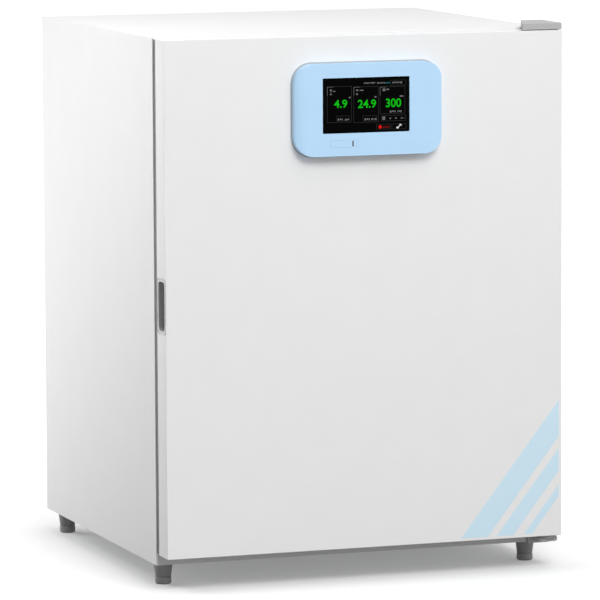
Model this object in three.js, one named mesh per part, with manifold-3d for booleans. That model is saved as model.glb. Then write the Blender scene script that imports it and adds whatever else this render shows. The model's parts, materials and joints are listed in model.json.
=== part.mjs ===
// Incubated benchtop shaker: a front-door CO2 incubator cabinet with an orbital shaking platform.
// Millimetres, +Z up, the front towards -Y, the floor at Z 0.
import * as THREE from "three";
import { mergeVertices } from "three/addons/utils/BufferGeometryUtils.js";
import Module from "manifold-3d";

const wasm = await Module();
wasm.setup();

// Cabinet
const bodyWidth = 700;
const bodyDepth = 640;
const bodyHeight = 876;
const sheet = 1.5; // steel sheet of the casing, the door and the chamber
const foldRadius = 5;
const flangeWidth = 16; // folded edge of the casing, at its front and back
const panFlange = 30;

// Fits
const gap = 0.3; // between pieces that touch
const overrun = 2; // how far a cut runs past the face it opens
const running = 0.1; // radial clearance of a journal in its bearing
const weld = 0.0001; // vertices nearer than this are one

// Feet
const footHeight = 38;
const padHeight = 12;
const padRadius = 13.7;
const padRounding = 2;
const collarTopRadius = 16.5;
const collarSeamRadius = 13.2;
const studRadius = 5;
const studRise = 9; // above the underside of the cabinet
const footInsetX = 25;
const footInsetY = 42;

// Heated chamber
const sideWall = 80; // from the side of the cabinet to the chamber
const topWall = 71; // from the top of the cabinet to the chamber
const rearWall = 140; // from the back of the cabinet to the chamber
const chamberRadius = 14;
const chamberLift = 165; // chamber floor above the underside of the cabinet
const chamberFlange = 14;
const floorFoam = 48;
const rearFoam = 56;
const drainCollarHeight = 12; // raised edge of the hole that the drive comes up through
const drainCollarRadius = 34;

// Outer door
const doorGap = 16; // space for the magnetic seal
const doorThickness = 46;
const doorLift = 19; // above the underside of the cabinet
const doorDrop = 1; // below the top of the cabinet
const doorRounding = 3; // of the edges of its front
const doorCorner = 4.5; // of its outline
const dishSideMargin = 50; // from the edge of the door to its pressed dish
const dishEndMargin = 58;
const dishDepth = 15;
const dishRadius = 22;
const sealInset = 14;
const sealWidth = 22;
const sealRounding = 4;

// Hinges of the outer door
const hingeArmWidth = 38;
const hingeArmReach = 90;
const hingeArmHeight = 11;
const hingeArmRounding = 3;
const hingeArmCorner = 6;
const lowerArmCorner = 12.5;
const hingePinRadius = 5;
const hingePinDepth = 26; // in the door
const hingeInset = 19; // pin to the door's right side, and to its front
const lowerArmThickness = 6;
const lowerArmLift = 8;
const lowerArmReach = 54;
const pinCollarRadius = 9;

// Recessed grip in the door's left side
const gripLength = 92;
const gripWidth = 43;
const gripDepth = 30;
const gripWall = 2;
const gripRim = 3.5;
const gripRadius = 8;
const gripHeight = 418; // its middle above the bottom of the door

// Display housing on the door
const housingWidth = 260;
const housingHeight = 153;
const housingDepth = 18;
const housingRadius = 33;
const housingRoll = 22; // width over which the left and right margins roll back
const housingRollDepth = 9;
const housingWall = 3;
const housingDrop = 121; // its middle below the top of the door
const cableRadius = 12;
const screenWidth = 152.4;
const screenHeight = 91.4;
const screenRise = 7; // above the middle of the housing
const screenShift = -6;
const screenSink = 1;
const screenThickness = 5;
const screenMargin = 4; // glass behind the edge of the window
const boardThickness = 1.6;
const boardMargin = 12;
const socketWidth = 14;
const socketHeight = 6;
const flapWidth = 48;
const flapHeight = 11.4;
const flapThickness = 1.6;
const flapCorner = 1;
const flapX = -45;
const flapDrop = 56; // below the middle of the housing
const slitWidth = 2;
const slitShare = 0.82;

// Inner glass door
const glassThickness = 5;
const glassOverlap = 12; // over the edge of the opening
const innerSealThickness = 4;
const innerSealWidth = 12;
const innerHingeOutset = 19; // from the side of the chamber
const hingeRodRadius = 3;
const barrelRadius = 5;
const stripWidth = 16;
const stripWall = 1.5;
const lugHeight = 14;
const lugFootWidth = 13;
const knobRadius = 14;
const knobHeight = 14;
const knobNeckShare = 0.7;
const knobRoundShare = 0.2;
const knobInset = 20; // from the edge of the glass
const tongueLength = 26;
const tongueWidth = 9;
const tongueThickness = 2;
const keeperWidth = 16;
const keeperFoot = 7;
const keeperClearance = 2.5; // to the edge of the glass
const keeperHeight = 16;
const keeperLip = 2.6;

// Orbital drive
const orbitRadius = 12.5;
const driveOffset = 21.8; // drive in front of the middle of the chamber
const shaftRadius = 10;
const shaftBelow = 122; // reach of the shaft under the chamber floor
const housingTubeRadius = 30;
const housingFlangeRadius = 52;
const housingFlangeThickness = 8;
const housingBoreShoulder = 3;
const slingerRadius = 40;
const slingerWall = 3;
const slingerSkirt = 10;
const crankRadius = 34;
const crankThickness = 8;
const crankPinRadius = 8;
const counterweightRadius = 80;
const counterweightThickness = 14;
const counterweightChord = 14;
const idlerCount = 3;
const idlerCircle = 125;
const idlerBaseRadius = 28;
const idlerBaseThickness = 6;
const idlerBodyRadius = 17;
const idlerBodyHeight = 22;
const idlerJournalRadius = 8;
const idlerPinRadius = 7;
const idlerWebThickness = 9;
const idlerWebMargin = 6;
const carriageLift = 50; // underside of the carriage plate above the chamber floor
const carriageSize = 300;
const carriageThickness = 6;
const carriageRadius = 26;
const carriageHubRadius = 18;
const carriageHubDrop = 8;
const carriageHoleRadius = 30;
const carriageHoleSide = 81; // from the middle of the carriage to each lightening hole
const carriageHoleFront = 24.3;
const carriageHoleBack = 64.8;
const padBossRadius = 12;
const padBossHeight = 4;
const padBossInset = 26;
const platformWidthShare = 0.8; // of the chamber
const platformDepthShare = 0.84;
const platformThickness = 3;
const platformLip = 13;
const platformRadius = 16;
const platformHoleRadius = 3.2;
const platformHoleRows = 5;
const platformHoleSideMargin = 56; // from the edge of the platform to the outer holes
const platformHoleEndMargin = 50;

// Belt drive in the bay under the chamber
const deckThickness = 6;
const deckWidth = 330;
const deckDepth = 230;
const deckFlange = 24;
const deckHeight = 84; // above the base pan
const pulleyRadius = 48;
const pulleyWidth = 14;
const pulleyFlange = 3.5;
const pulleyFlangeThickness = 2;
const pulleyHubRadius = 20;
const pulleyWeb = 5;
const pulleyHoles = 5;
const pulleyHoleRadius = 8;
const motorPulleyRadius = 16;
const motorShaftRadius = 6;
const motorDistance = 118;
const motorRadius = 42;
const motorFlangeRadius = 46;
const motorFlangeThickness = 5;
const motorFins = 3;
const finDepth = 3;
const motorFloorGap = 3;
const bracketThickness = 4;
const bracketWidth = 110;
const bracketDepth = 104;
const bracketFlange = 16;
const bracketHeight = 44; // above the base pan
const beltThickness = 2.6;

// Circulation fan on the chamber's rear wall
const fanDrop = 240; // under the chamber ceiling
const impellerRadius = 72;
const impellerHubRadius = 14;
const impellerWidth = 26;
const impellerDisc = 2;
const impellerBlades = 12;
const bladeThickness = 1.8;
const bladeRoot = 28; // where the blades start, from the axis
const bladeLead = 10; // degrees cut from each end of a blade's half circle
const fanShaftRadius = 4;
const fanMotorRadius = 40;
const fanMotorLength = 44;
const fanMotorFlange = 48;
const fanBoreShare = 0.7;
const ductSideMargin = 45; // from the side of the chamber
const ductTopMargin = 40;
const ductDepth = 42;
const ductLift = 40;
const ductRadius = 10;
const ductFlange = 8;
const intakeRadius = 60;
const intakeSlots = 9;
const slotWidth = 6;
const outletSlots = 8;
const outletLength = 34;
const outletInset = 26;

// Probes
const probeDrop = 100; // under the chamber ceiling
const probeInset = 19; // from the side of the chamber
const probeRadius = 3;
const probeLength = 52;
const glandRadius = 7;
const glandLength = 6;
const sensorRadius = 10;
const sensorLength = 46;
const sensorBase = 14;
const probeTail = 20; // in the foam behind the wall

// Electrics
const supplyWidth = 150;
const supplyDepth = 110;
const supplyHeight = 62;
const supplyInset = 130; // its middle from the left side of the cabinet
const supplyFromBack = 140;
const panelBoardWidth = 220;
const panelBoardHeight = 130;
const panelBoardInset = 125; // its middle from the left side of the cabinet
const panelBoardZ = 295; // its middle above the underside of the cabinet
const standoffRadius = 4;
const standoffHeight = 10;
const inletInset = 100; // its middle from the left side of the cabinet
const inletHeight = 62; // above the underside of the cabinet
const inletWidth = 74;
const inletTall = 34;
const inletFlange = 3;
const inletDepth = 26;
const inletCornerRadius = 4;
const socketRecess = 20;
const contactWidth = 2;
const contactHeight = 5;
const contactPitch = 7;
const rockerWidth = 14;
const rockerHeight = 22;
const rockerDepth = 12;
const rockerProud = 3;
const gasInset = 120; // from the right side of the cabinet
const gasHeight = 62;
const gasReach = 22; // beyond the back of the casing
const gasRadius = 4;
const gasNutRadius = 9;
const louvreRows = 6;
const louvreColumns = 2;
const louvreLength = 90;
const louvreWidth = 5;
const louvrePitch = 14;
const ventSlots = 8;
const ventLength = 60;

// Facets
const fineSides = 24; // journals and their bearings: 15 degrees a facet
const plainSides = 16;
const smallSides = 12;
const cornerSteps = 2;
const softSteps = 4;

// Places that follow from the sizes
const underside = footHeight;
const topside = underside + bodyHeight;
const chamberWidth = bodyWidth - 2 * sideWall;
const chamberHeight = bodyHeight - chamberLift - topWall;
const chamberDepth = bodyDepth - rearWall;
const chamberFloor = underside + chamberLift;
const chamberTop = chamberFloor + chamberHeight;
const linerFront = sheet + gap;
const chamberBack = linerFront + chamberDepth;
const foamBack = chamberBack + sheet + gap + rearFoam;
const doorHeight = bodyHeight - doorLift - doorDrop;
const dishWidth = bodyWidth - 2 * dishSideMargin;
const dishHeight = doorHeight - 2 * dishEndMargin;
const housingHeightOnDoor = doorHeight - housingDrop;
const doorBottom = underside + doorLift;
const panTop = underside + sheet;
const reachFront = doorGap + doorThickness + housingDepth;
const frontPlane = (reachFront - bodyDepth - gasReach) / 2;
const hingeX = bodyWidth / 2 - hingeInset;
const hingeY = -doorGap - doorThickness + hingeInset;
const platformY = linerFront + chamberDepth / 2 - driveOffset;
const platformWidth = chamberWidth * platformWidthShare;
const platformDepth = chamberDepth * platformDepthShare;
const platformHolePitchX = (platformWidth - 2 * platformHoleSideMargin) / (platformHoleRows - 1);
const platformHolePitchY = (platformDepth - 2 * platformHoleEndMargin) / (platformHoleRows - 1);
const orbitAxis = new THREE.Vector3(0, platformY, chamberFloor);
const fanHeight = chamberHeight - fanDrop;
const ductWidth = chamberWidth - 2 * ductSideMargin;
const ductHeight = chamberHeight - ductLift - ductTopMargin;
const probeHeight = chamberHeight - probeDrop;
const probeX = chamberWidth / 2 - probeInset;
const supplyX = supplyInset - bodyWidth / 2;
const supplyY = bodyDepth - supplyFromBack;
const panelBoardX = panelBoardInset - bodyWidth / 2;
const inletX = inletInset - bodyWidth / 2;
const gasX = bodyWidth / 2 - gasInset;
const innerHingeX = chamberWidth / 2 + innerHingeOutset;
const glassRight = innerHingeX - barrelRadius - gap;
const glassLeft = -innerHingeX - glassOverlap / 2;
const glassBack = -innerSealThickness;
const glassFront = glassBack - glassThickness;
const glassMiddle = (glassFront + glassBack) / 2;

// Materials
function finish(color, roughness, metalness = 0) {
  return new THREE.MeshStandardMaterial({ color, roughness, metalness });
}
const whitePaint = finish(0xf4f5f5, 0.5);
const stainless = finish(0xc9cccd, 0.32, 1);
const zincSteel = finish(0xa9adb0, 0.42, 1);
const castAluminium = finish(0x9da1a4, 0.55, 1);
const brightSteel = finish(0xd2d4d6, 0.22, 1);
const darkPlastic = finish(0x4b4d4f, 0.62);
const greyPlastic = finish(0xb2b3b3, 0.55);
const gripPlastic = finish(0x7f8080, 0.6);
const blackRubber = finish(0x2b2c2e, 0.85);
const sealRubber = finish(0x5b5c5e, 0.8);
const clearSilicone = finish(0xd9dcdc, 0.6);
const foam = finish(0xe6dfc4, 0.95);
const bluePlastic = finish(0xb9ddfa, 0.42);
const blackGlass = finish(0x050607, 0.12);
const tintedGlass = finish(0xcfe0dd, 0.06);
const boardGreen = finish(0x1f6a3f, 0.5);
const blackPaint = finish(0x26282a, 0.5);

// Solids
function solidFrom(geometry) {
  const loose = geometry.index ? geometry.toNonIndexed() : geometry;
  const bare = new THREE.BufferGeometry();
  bare.setAttribute("position", loose.getAttribute("position"));
  const merged = mergeVertices(bare, weld);
  const corners = merged.index.array;
  const faces = [];
  for (let i = 0; i < corners.length; i += 3) {
    const [a, b, c] = corners.slice(i, i + 3);
    if (a !== b && b !== c && c !== a) {
      faces.push(a, b, c);
    }
  }
  const vertProperties = merged.attributes.position.array;
  const made = new wasm.Manifold(
    new wasm.Mesh({ numProp: 3, vertProperties, triVerts: new Uint32Array(faces) }),
  );
  if (made.volume() > 0) {
    return made;
  }
  for (let i = 0; i < faces.length; i += 3) {
    [faces[i], faces[i + 1]] = [faces[i + 1], faces[i]];
  }
  return new wasm.Manifold(
    new wasm.Mesh({ numProp: 3, vertProperties, triVerts: new Uint32Array(faces) }),
  );
}

function geometryFrom(solid) {
  const mesh = solid.getMesh();
  const geometry = new THREE.BufferGeometry();
  geometry.setAttribute("position", new THREE.BufferAttribute(mesh.vertProperties, 3));
  geometry.setIndex(new THREE.BufferAttribute(mesh.triVerts, 1));
  geometry.computeVertexNormals();
  return geometry;
}

function join(first, ...others) {
  return others.reduce((sum, other) => sum.add(other), first);
}

function cut(first, ...others) {
  return others.reduce((rest, other) => rest.subtract(other), first);
}

function block(x0, x1, y0, y1, z0, z1) {
  const box = new THREE.BoxGeometry(x1 - x0, y1 - y0, z1 - z0);
  box.translate((x0 + x1) / 2, (y0 + y1) / 2, (z0 + z1) / 2);
  return solidFrom(box);
}

// A solid of revolution about Z from [radius, height] pairs.
function turned(profile, sides = plainSides) {
  const points = profile.map(([radius, height]) => new THREE.Vector2(radius, height));
  const lathe = new THREE.LatheGeometry(points, sides);
  lathe.rotateX(Math.PI / 2);
  return solidFrom(lathe);
}

function rod(radius, z0, z1, x = 0, y = 0, sides = plainSides) {
  return turned([[0, z0], [radius, z0], [radius, z1], [0, z1]], sides).translate([x, y, 0]);
}

function sleeve(inner, outer, z0, z1, sides = plainSides) {
  return turned([[inner, z0], [outer, z0], [outer, z1], [inner, z1], [inner, z0]], sides);
}

// Turns a solid built along +Z so that it points to -Y.
function faceFront(solid) {
  return solid.rotate([90, 0, 0]);
}

function roundedRectangle(width, height, radius, x = 0, y = 0) {
  const left = x - width / 2;
  const right = x + width / 2;
  const low = y - height / 2;
  const high = y + height / 2;
  const shape = new THREE.Shape();
  shape.moveTo(left + radius, low);
  shape.lineTo(right - radius, low);
  shape.absarc(right - radius, low + radius, radius, -Math.PI / 2, 0);
  shape.lineTo(right, high - radius);
  shape.absarc(right - radius, high - radius, radius, 0, Math.PI / 2);
  shape.lineTo(left + radius, high);
  shape.absarc(left + radius, high - radius, radius, Math.PI / 2, Math.PI);
  shape.lineTo(left, low + radius);
  shape.absarc(left + radius, low + radius, radius, Math.PI, Math.PI * 1.5);
  return shape;
}

// A circle drawn as a few equal arcs: each takes twice the steps of its outline.
function circleShape(radius, x = 0, y = 0, arcs = 4) {
  const shape = new THREE.Shape();
  const turn = (Math.PI * 2) / arcs;
  for (let i = 0; i < arcs; i++) {
    shape.absarc(x, y, radius, i * turn, (i + 1) * turn);
  }
  return shape;
}

// An outline drawn in X and Y and drawn out along Z.
function upright(shape, z0, z1, steps = cornerSteps) {
  const slab = new THREE.ExtrudeGeometry(shape, {
    depth: z1 - z0,
    bevelEnabled: false,
    curveSegments: steps,
  });
  slab.translate(0, 0, z0);
  return solidFrom(slab);
}

// An outline drawn in X and Z and drawn out along Y.
function frontal(shape, y0, y1, steps = cornerSteps) {
  return faceFront(upright(shape, 0, y1 - y0, steps)).translate([0, y1, 0]);
}

// An outline drawn in Y and Z and drawn out along X.
function sideways(shape, x0, x1, steps = cornerSteps) {
  const slab = new THREE.ExtrudeGeometry(shape, {
    depth: x1 - x0,
    bevelEnabled: false,
    curveSegments: steps,
  });
  const yAxis = new THREE.Vector3(0, 1, 0);
  const zAxis = new THREE.Vector3(0, 0, 1);
  const xAxis = new THREE.Vector3(1, 0, 0);
  slab.applyMatrix4(new THREE.Matrix4().makeBasis(yAxis, zAxis, xAxis));
  slab.translate(x0, 0, 0);
  return solidFrom(slab);
}

// A slab with rounded edges all round, drawn out along Z.
function cushionSlab(shape, z0, z1, rounding, steps = cornerSteps) {
  const slab = new THREE.ExtrudeGeometry(shape, {
    depth: z1 - z0 - 2 * rounding,
    bevelEnabled: true,
    bevelThickness: rounding,
    bevelSize: rounding,
    bevelOffset: -rounding,
    bevelSegments: cornerSteps,
    curveSegments: steps,
  });
  slab.translate(0, 0, z0 + rounding);
  return solidFrom(slab);
}

// A slot with round ends: level where it is longer than it is wide, and standing otherwise.
function slotShape(length, width, x, y) {
  const radius = Math.min(length, width) / 2;
  const dx = length / 2 - radius;
  const dy = width / 2 - radius;
  const turn = dx > 0 ? 0 : Math.PI / 2;
  const shape = new THREE.Shape();
  shape.absarc(x + dx, y + dy, radius, turn - Math.PI / 2, turn + Math.PI / 2);
  shape.absarc(x - dx, y - dy, radius, turn + Math.PI / 2, turn + Math.PI * 1.5);
  return shape;
}

function polygon(points) {
  return new THREE.Shape(points.map(([x, y]) => new THREE.Vector2(x, y)));
}

// The section of a folded bridge: two feet, two legs and a top, standing on 0.
function hatShape(width, height, flange, wall) {
  const half = width / 2;
  return polygon([
    [-half - flange, 0],
    [-half + wall, 0],
    [-half + wall, height - wall],
    [half - wall, height - wall],
    [half - wall, 0],
    [half + flange, 0],
    [half + flange, wall],
    [half, wall],
    [half, height],
    [-half, height],
    [-half, wall],
    [-half - flange, wall],
  ]);
}

// Scene groups, each with its own origin
const machine = new THREE.Group();
machine.name = "incubated_shaker";

function groupAt(parent, x, y, z) {
  const group = new THREE.Group();
  group.position.set(x, y, z);
  parent.add(group);
  return group;
}

function addPiece(parent, name, material, solid) {
  const mesh = new THREE.Mesh(geometryFrom(solid), material);
  mesh.name = name;
  parent.add(mesh);
  return mesh;
}

// Origin: middle of the cabinet's front plane, on the floor.
const cabinet = groupAt(machine, 0, frontPlane, 0);
// Origin: middle of the back of the outer door, at its bottom edge.
const door = groupAt(cabinet, 0, -doorGap, doorBottom);
// Origin: middle of the display housing's back, on the front of the door.
const display = groupAt(door, 0, -doorThickness, housingHeightOnDoor);
// Origin: middle of the opening's lower edge, on the cabinet's front plane.
const opening = groupAt(cabinet, 0, 0, chamberFloor);
// Origin: axis of the drive at the chamber floor.
const drive = groupAt(cabinet, orbitAxis.x, orbitAxis.y, orbitAxis.z);
// Origin: fan axis on the chamber's rear wall.
const fan = groupAt(cabinet, 0, chamberBack, chamberFloor + fanHeight);
// Origin: underside of the cabinet on the outer face of its back.
const rear = groupAt(cabinet, 0, bodyDepth, underside);

// Cabinet shell
function casingOutline() {
  const half = bodyWidth / 2;
  const shape = new THREE.Shape();
  shape.moveTo(-half, underside);
  shape.lineTo(half, underside);
  shape.lineTo(half, topside - foldRadius);
  shape.absarc(half - foldRadius, topside - foldRadius, foldRadius, 0, Math.PI / 2);
  shape.lineTo(-half + foldRadius, topside);
  shape.absarc(-half + foldRadius, topside - foldRadius, foldRadius, Math.PI / 2, Math.PI);
  return shape;
}

function outerCasing() {
  const inside = bodyWidth / 2 - sheet;
  const window = bodyWidth / 2 - flangeWidth;
  const low = underside - overrun;
  return cut(
    frontal(casingOutline(), 0, bodyDepth),
    block(-inside, inside, sheet, bodyDepth - sheet, low, topside - sheet),
    block(-window, window, -overrun, bodyDepth + overrun, low, topside - flangeWidth),
  );
}

function footPlaces() {
  const x = bodyWidth / 2 - footInsetX;
  const back = bodyDepth - footInsetY;
  return [[-x, footInsetY], [x, footInsetY], [-x, back], [x, back]];
}

function basePan() {
  const half = bodyWidth / 2 - sheet - gap;
  const front = sheet + gap;
  const back = bodyDepth - sheet - gap;
  const top = underside + panFlange;
  let pan = cut(
    block(-half, half, front, back, underside, top),
    block(-half + sheet, half - sheet, front + sheet, back - sheet, panTop, top + overrun),
  );
  for (const [x, y] of footPlaces()) {
    pan = pan.subtract(rod(studRadius + gap, 0, top, x, y, smallSides));
  }
  for (let i = 0; i < ventSlots; i++) {
    const x = (i - (ventSlots - 1) / 2) * louvrePitch;
    const vent = slotShape(louvreWidth, ventLength, x, bodyDepth - footInsetY * 2);
    pan = pan.subtract(upright(vent, 0, top, 1));
  }
  return pan;
}

function frontFrame() {
  const half = bodyWidth / 2 - flangeWidth - gap;
  const high = topside - flangeWidth - gap;
  const middle = chamberFloor + chamberHeight / 2;
  const window = roundedRectangle(chamberWidth, chamberHeight, chamberRadius, 0, middle);
  const plate = cut(
    block(-half, half, 0, sheet, underside, high),
    frontal(window, -overrun, sheet + overrun),
  );
  return join(plate, latchKeeper());
}

// The hook on the frame that the inner door's tongue turns under.
function latchKeeper() {
  const glassFront = innerSealThickness + glassThickness;
  const depth = glassFront + gap + tongueThickness + gap + keeperLip;
  const right = glassLeft - keeperClearance;
  const left = right - keeperWidth;
  const low = chamberFloor + (chamberHeight - keeperHeight) / 2;
  const high = low + keeperHeight;
  const hook = block(left, right, -depth, sheet / 2, low, high);
  const throat = -depth + keeperLip;
  const slot = block(left + keeperFoot, right + overrun, throat, 0, low - overrun, high + overrun);
  return hook.subtract(slot);
}

function rearPanel() {
  const half = bodyWidth / 2 - sheet;
  let panel = block(-half, half, 0, sheet, 0, bodyHeight - sheet);
  const socket = roundedRectangle(
    inletWidth - 2 * inletFlange + 2 * gap,
    inletTall - 2 * inletFlange + 2 * gap,
    inletCornerRadius,
    inletX,
    inletHeight,
  );
  panel = panel.subtract(frontal(socket, -overrun, sheet + overrun));
  const gasHole = circleShape(gasRadius + gap, gasX, gasHeight);
  panel = panel.subtract(frontal(gasHole, -overrun, sheet + overrun));
  for (let column = 0; column < louvreColumns; column++) {
    for (let row = 0; row < louvreRows; row++) {
      const x = (column - (louvreColumns - 1) / 2) * (louvreLength + louvrePitch);
      const z = inletHeight + (row - (louvreRows - 1) / 2) * louvrePitch;
      const louvre = slotShape(louvreLength, louvreWidth, x, z);
      panel = panel.subtract(frontal(louvre, -overrun, sheet + overrun, 1));
    }
  }
  return panel;
}

// Holes in the chamber wall and the foam behind it, each [x, z, radius, passes the foam]
function wallPorts() {
  return [
    [0, fanHeight, fanShaftRadius * 2, true],
    [probeX, probeHeight, glandRadius, false],
    [-probeX, probeHeight, sensorBase, false],
  ];
}

function chamberBlock(grow, y0, y1) {
  const middle = chamberFloor + chamberHeight / 2;
  const radius = chamberRadius + grow;
  const shape = roundedRectangle(chamberWidth + 2 * grow, chamberHeight + 2 * grow, radius, 0, middle);
  return frontal(shape, y0, y1);
}

function innerChamber() {
  const back = chamberBack + sheet;
  const lip = linerFront + sheet;
  const shell = chamberBlock(sheet, linerFront, back);
  const flange = chamberBlock(chamberFlange, linerFront, lip);
  let liner = join(shell, flange);
  liner = liner.subtract(chamberBlock(0, linerFront - overrun, chamberBack));
  const collar = sleeve(drainCollarRadius, drainCollarRadius + sheet, -sheet, drainCollarHeight);
  liner = liner.add(collar.translate(orbitAxis.toArray()));
  const hole = rod(drainCollarRadius, -sheet - overrun, drainCollarHeight + overrun);
  liner = liner.subtract(hole.translate(orbitAxis.toArray()));
  for (const [x, z, radius] of wallPorts()) {
    const port = faceFront(rod(radius + gap, -sheet - overrun, overrun, 0, 0, smallSides));
    liner = liner.subtract(port.translate([x, chamberBack, chamberFloor + z]));
  }
  return liner;
}

function insulation() {
  const half = bodyWidth / 2 - sheet - gap;
  const front = linerFront + sheet + gap;
  const low = chamberFloor - sheet - gap - floorFoam;
  let jacket = block(-half, half, front, foamBack, low, topside - sheet - gap);
  jacket = jacket.subtract(chamberBlock(sheet + gap, 0, chamberBack + sheet + gap));
  const shaft = rod(housingTubeRadius + gap, low - overrun, chamberFloor, 0, 0, fineSides);
  jacket = jacket.subtract(shaft.translate([orbitAxis.x, orbitAxis.y, 0]));
  for (const [x, z, radius, passes] of wallPorts()) {
    const reach = passes ? rearFoam + overrun : probeTail;
    const port = faceFront(rod(radius + gap, -sheet - gap - reach, overrun, 0, 0, smallSides));
    jacket = jacket.subtract(port.translate([x, chamberBack, chamberFloor + z]));
  }
  return jacket;
}

addPiece(cabinet, "outer_casing", whitePaint, outerCasing());
addPiece(cabinet, "base_pan", zincSteel, basePan());
addPiece(cabinet, "front_frame", whitePaint, frontFrame());
addPiece(cabinet, "inner_chamber", stainless, innerChamber());
addPiece(cabinet, "insulation", foam, insulation());
addPiece(rear, "rear_panel", whitePaint, rearPanel());

// Feet
function footCollar() {
  const bore = studRadius + gap;
  return turned([
    [bore, padHeight + gap],
    [collarSeamRadius, padHeight + gap],
    [collarTopRadius, footHeight - gap],
    [bore, footHeight - gap],
    [bore, padHeight + gap],
  ]);
}

function footPad() {
  return turned([
    [0, 0],
    [padRadius - padRounding, 0],
    [padRadius, padRounding],
    [padRadius, padHeight - padRounding / 2],
    [padRadius - padRounding / 2, padHeight],
    [studRadius, padHeight],
    [studRadius, footHeight + studRise],
    [0, footHeight + studRise],
  ]);
}

footPlaces().forEach(([x, y], i) => {
  const foot = groupAt(cabinet, x, y, 0);
  addPiece(foot, "foot_collar_" + (i + 1), darkPlastic, footCollar());
  addPiece(foot, "foot_pad_" + (i + 1), blackRubber, footPad());
});

// Outer door
function doorShell() {
  const outline = roundedRectangle(bodyWidth, doorHeight, doorCorner, 0, doorHeight / 2);
  const skin = faceFront(cushionSlab(outline, -doorRounding, doorThickness, doorRounding));
  const half = bodyWidth / 2 - sheet;
  const behind = doorRounding + overrun;
  const inside = block(-half, half, -doorThickness + sheet, behind, sheet, doorHeight - sheet);
  const wall = bodyWidth / 2 + overrun;
  const back = block(-wall, wall, 0, behind, -overrun, doorHeight + overrun);
  const cable = faceFront(rod(cableRadius, doorThickness - sheet - overrun, doorThickness + overrun));
  return cut(
    skin,
    inside,
    back,
    gripBlock(gripLength + 2 * gap, gripWidth + 2 * gap, 0, sheet, overrun),
    cable.translate([0, 0, housingHeightOnDoor]),
    pinHoles(hingePinRadius + gap),
  );
}

function pinHoles(radius) {
  const y = hingeY + doorGap;
  const depth = hingePinDepth + overrun;
  const low = rod(radius, -overrun, depth, hingeX, y, smallSides);
  const high = rod(radius, doorHeight - depth, doorHeight + overrun, hingeX, y, smallSides);
  return join(low, high);
}

// A block with the grip's outline, from depth0 to depth1 inside the door's left side.
function gripBlock(length, width, depth0, depth1, proud = 0) {
  const side = -bodyWidth / 2;
  const shape = roundedRectangle(width, length, gripRadius, -doorThickness / 2, gripHeight);
  return sideways(shape, side + depth0 - proud, side + depth1 + proud);
}

function handleCup() {
  const cupLength = gripLength - 2 * gripRim;
  const cupWidth = gripWidth - 2 * gripRim;
  const cavityLength = cupLength - 2 * gripWall;
  const cavityWidth = cupWidth - 2 * gripWall;
  return cut(
    join(
      gripBlock(gripLength, gripWidth, 0, gripWall),
      gripBlock(cupLength, cupWidth, gripWall / 2, gripDepth),
    ),
    gripBlock(cavityLength, cavityWidth, -overrun, gripDepth - gripWall),
  );
}

function dishBlock(grow, depth, y1) {
  const radius = dishRadius + grow;
  const shape = roundedRectangle(dishWidth + 2 * grow, dishHeight + 2 * grow, radius, 0, doorHeight / 2);
  return frontal(shape, -depth, y1);
}

function doorLiner() {
  const half = bodyWidth / 2 - sheet - gap;
  const low = sheet + gap;
  const plate = block(-half, half, -sheet, 0, low, doorHeight - low);
  const pressed = join(plate, dishBlock(sheet, dishDepth + sheet, 0));
  return pressed.subtract(dishBlock(0, dishDepth, overrun));
}

function doorInsulation() {
  const half = bodyWidth / 2 - sheet - gap;
  const low = sheet + gap;
  const front = -doorThickness + sheet + gap;
  return cut(
    block(-half, half, front, -sheet - gap, low, doorHeight - low),
    dishBlock(sheet + gap, dishDepth + sheet + gap, 0),
    gripBlock(gripLength + 2 * gap, gripWidth + 2 * gap, 0, gripWall + gap, overrun),
    gripBlock(gripLength - gripRim, gripWidth - gripRim, 0, gripDepth + gap),
    pinHoles(hingePinRadius + gap),
  );
}

function doorSeal() {
  const outer = roundedRectangle(
    bodyWidth - 2 * sealInset,
    doorHeight - 2 * sealInset,
    sealInset,
    0,
    doorHeight / 2,
  );
  const inner = sealInset + sealWidth;
  const hole = roundedRectangle(
    bodyWidth - 2 * inner,
    doorHeight - 2 * inner,
    sealInset / 2,
    0,
    doorHeight / 2,
  );
  outer.holes.push(hole);
  return faceFront(cushionSlab(outer, -doorGap + gap, -gap, sealRounding));
}

addPiece(door, "door_shell", whitePaint, doorShell());
addPiece(door, "door_liner", whitePaint, doorLiner());
addPiece(door, "door_insulation", foam, doorInsulation());
addPiece(door, "door_seal", sealRubber, doorSeal());
addPiece(door, "handle_cup", gripPlastic, handleCup());

// Outer hinges: an arm on the cabinet's roof, a plate under the door, and a pin in each
function upperHingeArm() {
  const right = bodyWidth / 2 - gap;
  const left = right - hingeArmWidth;
  const front = -doorGap - doorThickness;
  const back = front + hingeArmReach;
  const outline = roundedRectangle(
    hingeArmWidth,
    hingeArmReach,
    hingeArmCorner,
    (left + right) / 2,
    (front + back) / 2,
  );
  const low = topside + gap;
  const high = low + hingeArmHeight;
  const slab = cushionSlab(outline, low - hingeArmRounding, high, hingeArmRounding);
  const below = low - 2 * hingeArmRounding;
  const foot = block(left - overrun, right + overrun, front - overrun, back + overrun, below, low);
  const bore = rod(hingePinRadius + gap, below, high - gap - sheet, hingeX, hingeY, smallSides);
  return cut(slab, foot, bore);
}

function upperHingePin() {
  const low = doorBottom + doorHeight - hingePinDepth;
  const high = topside + hingeArmHeight - sheet - gap;
  return rod(hingePinRadius, low, high, hingeX, hingeY);
}

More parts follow.
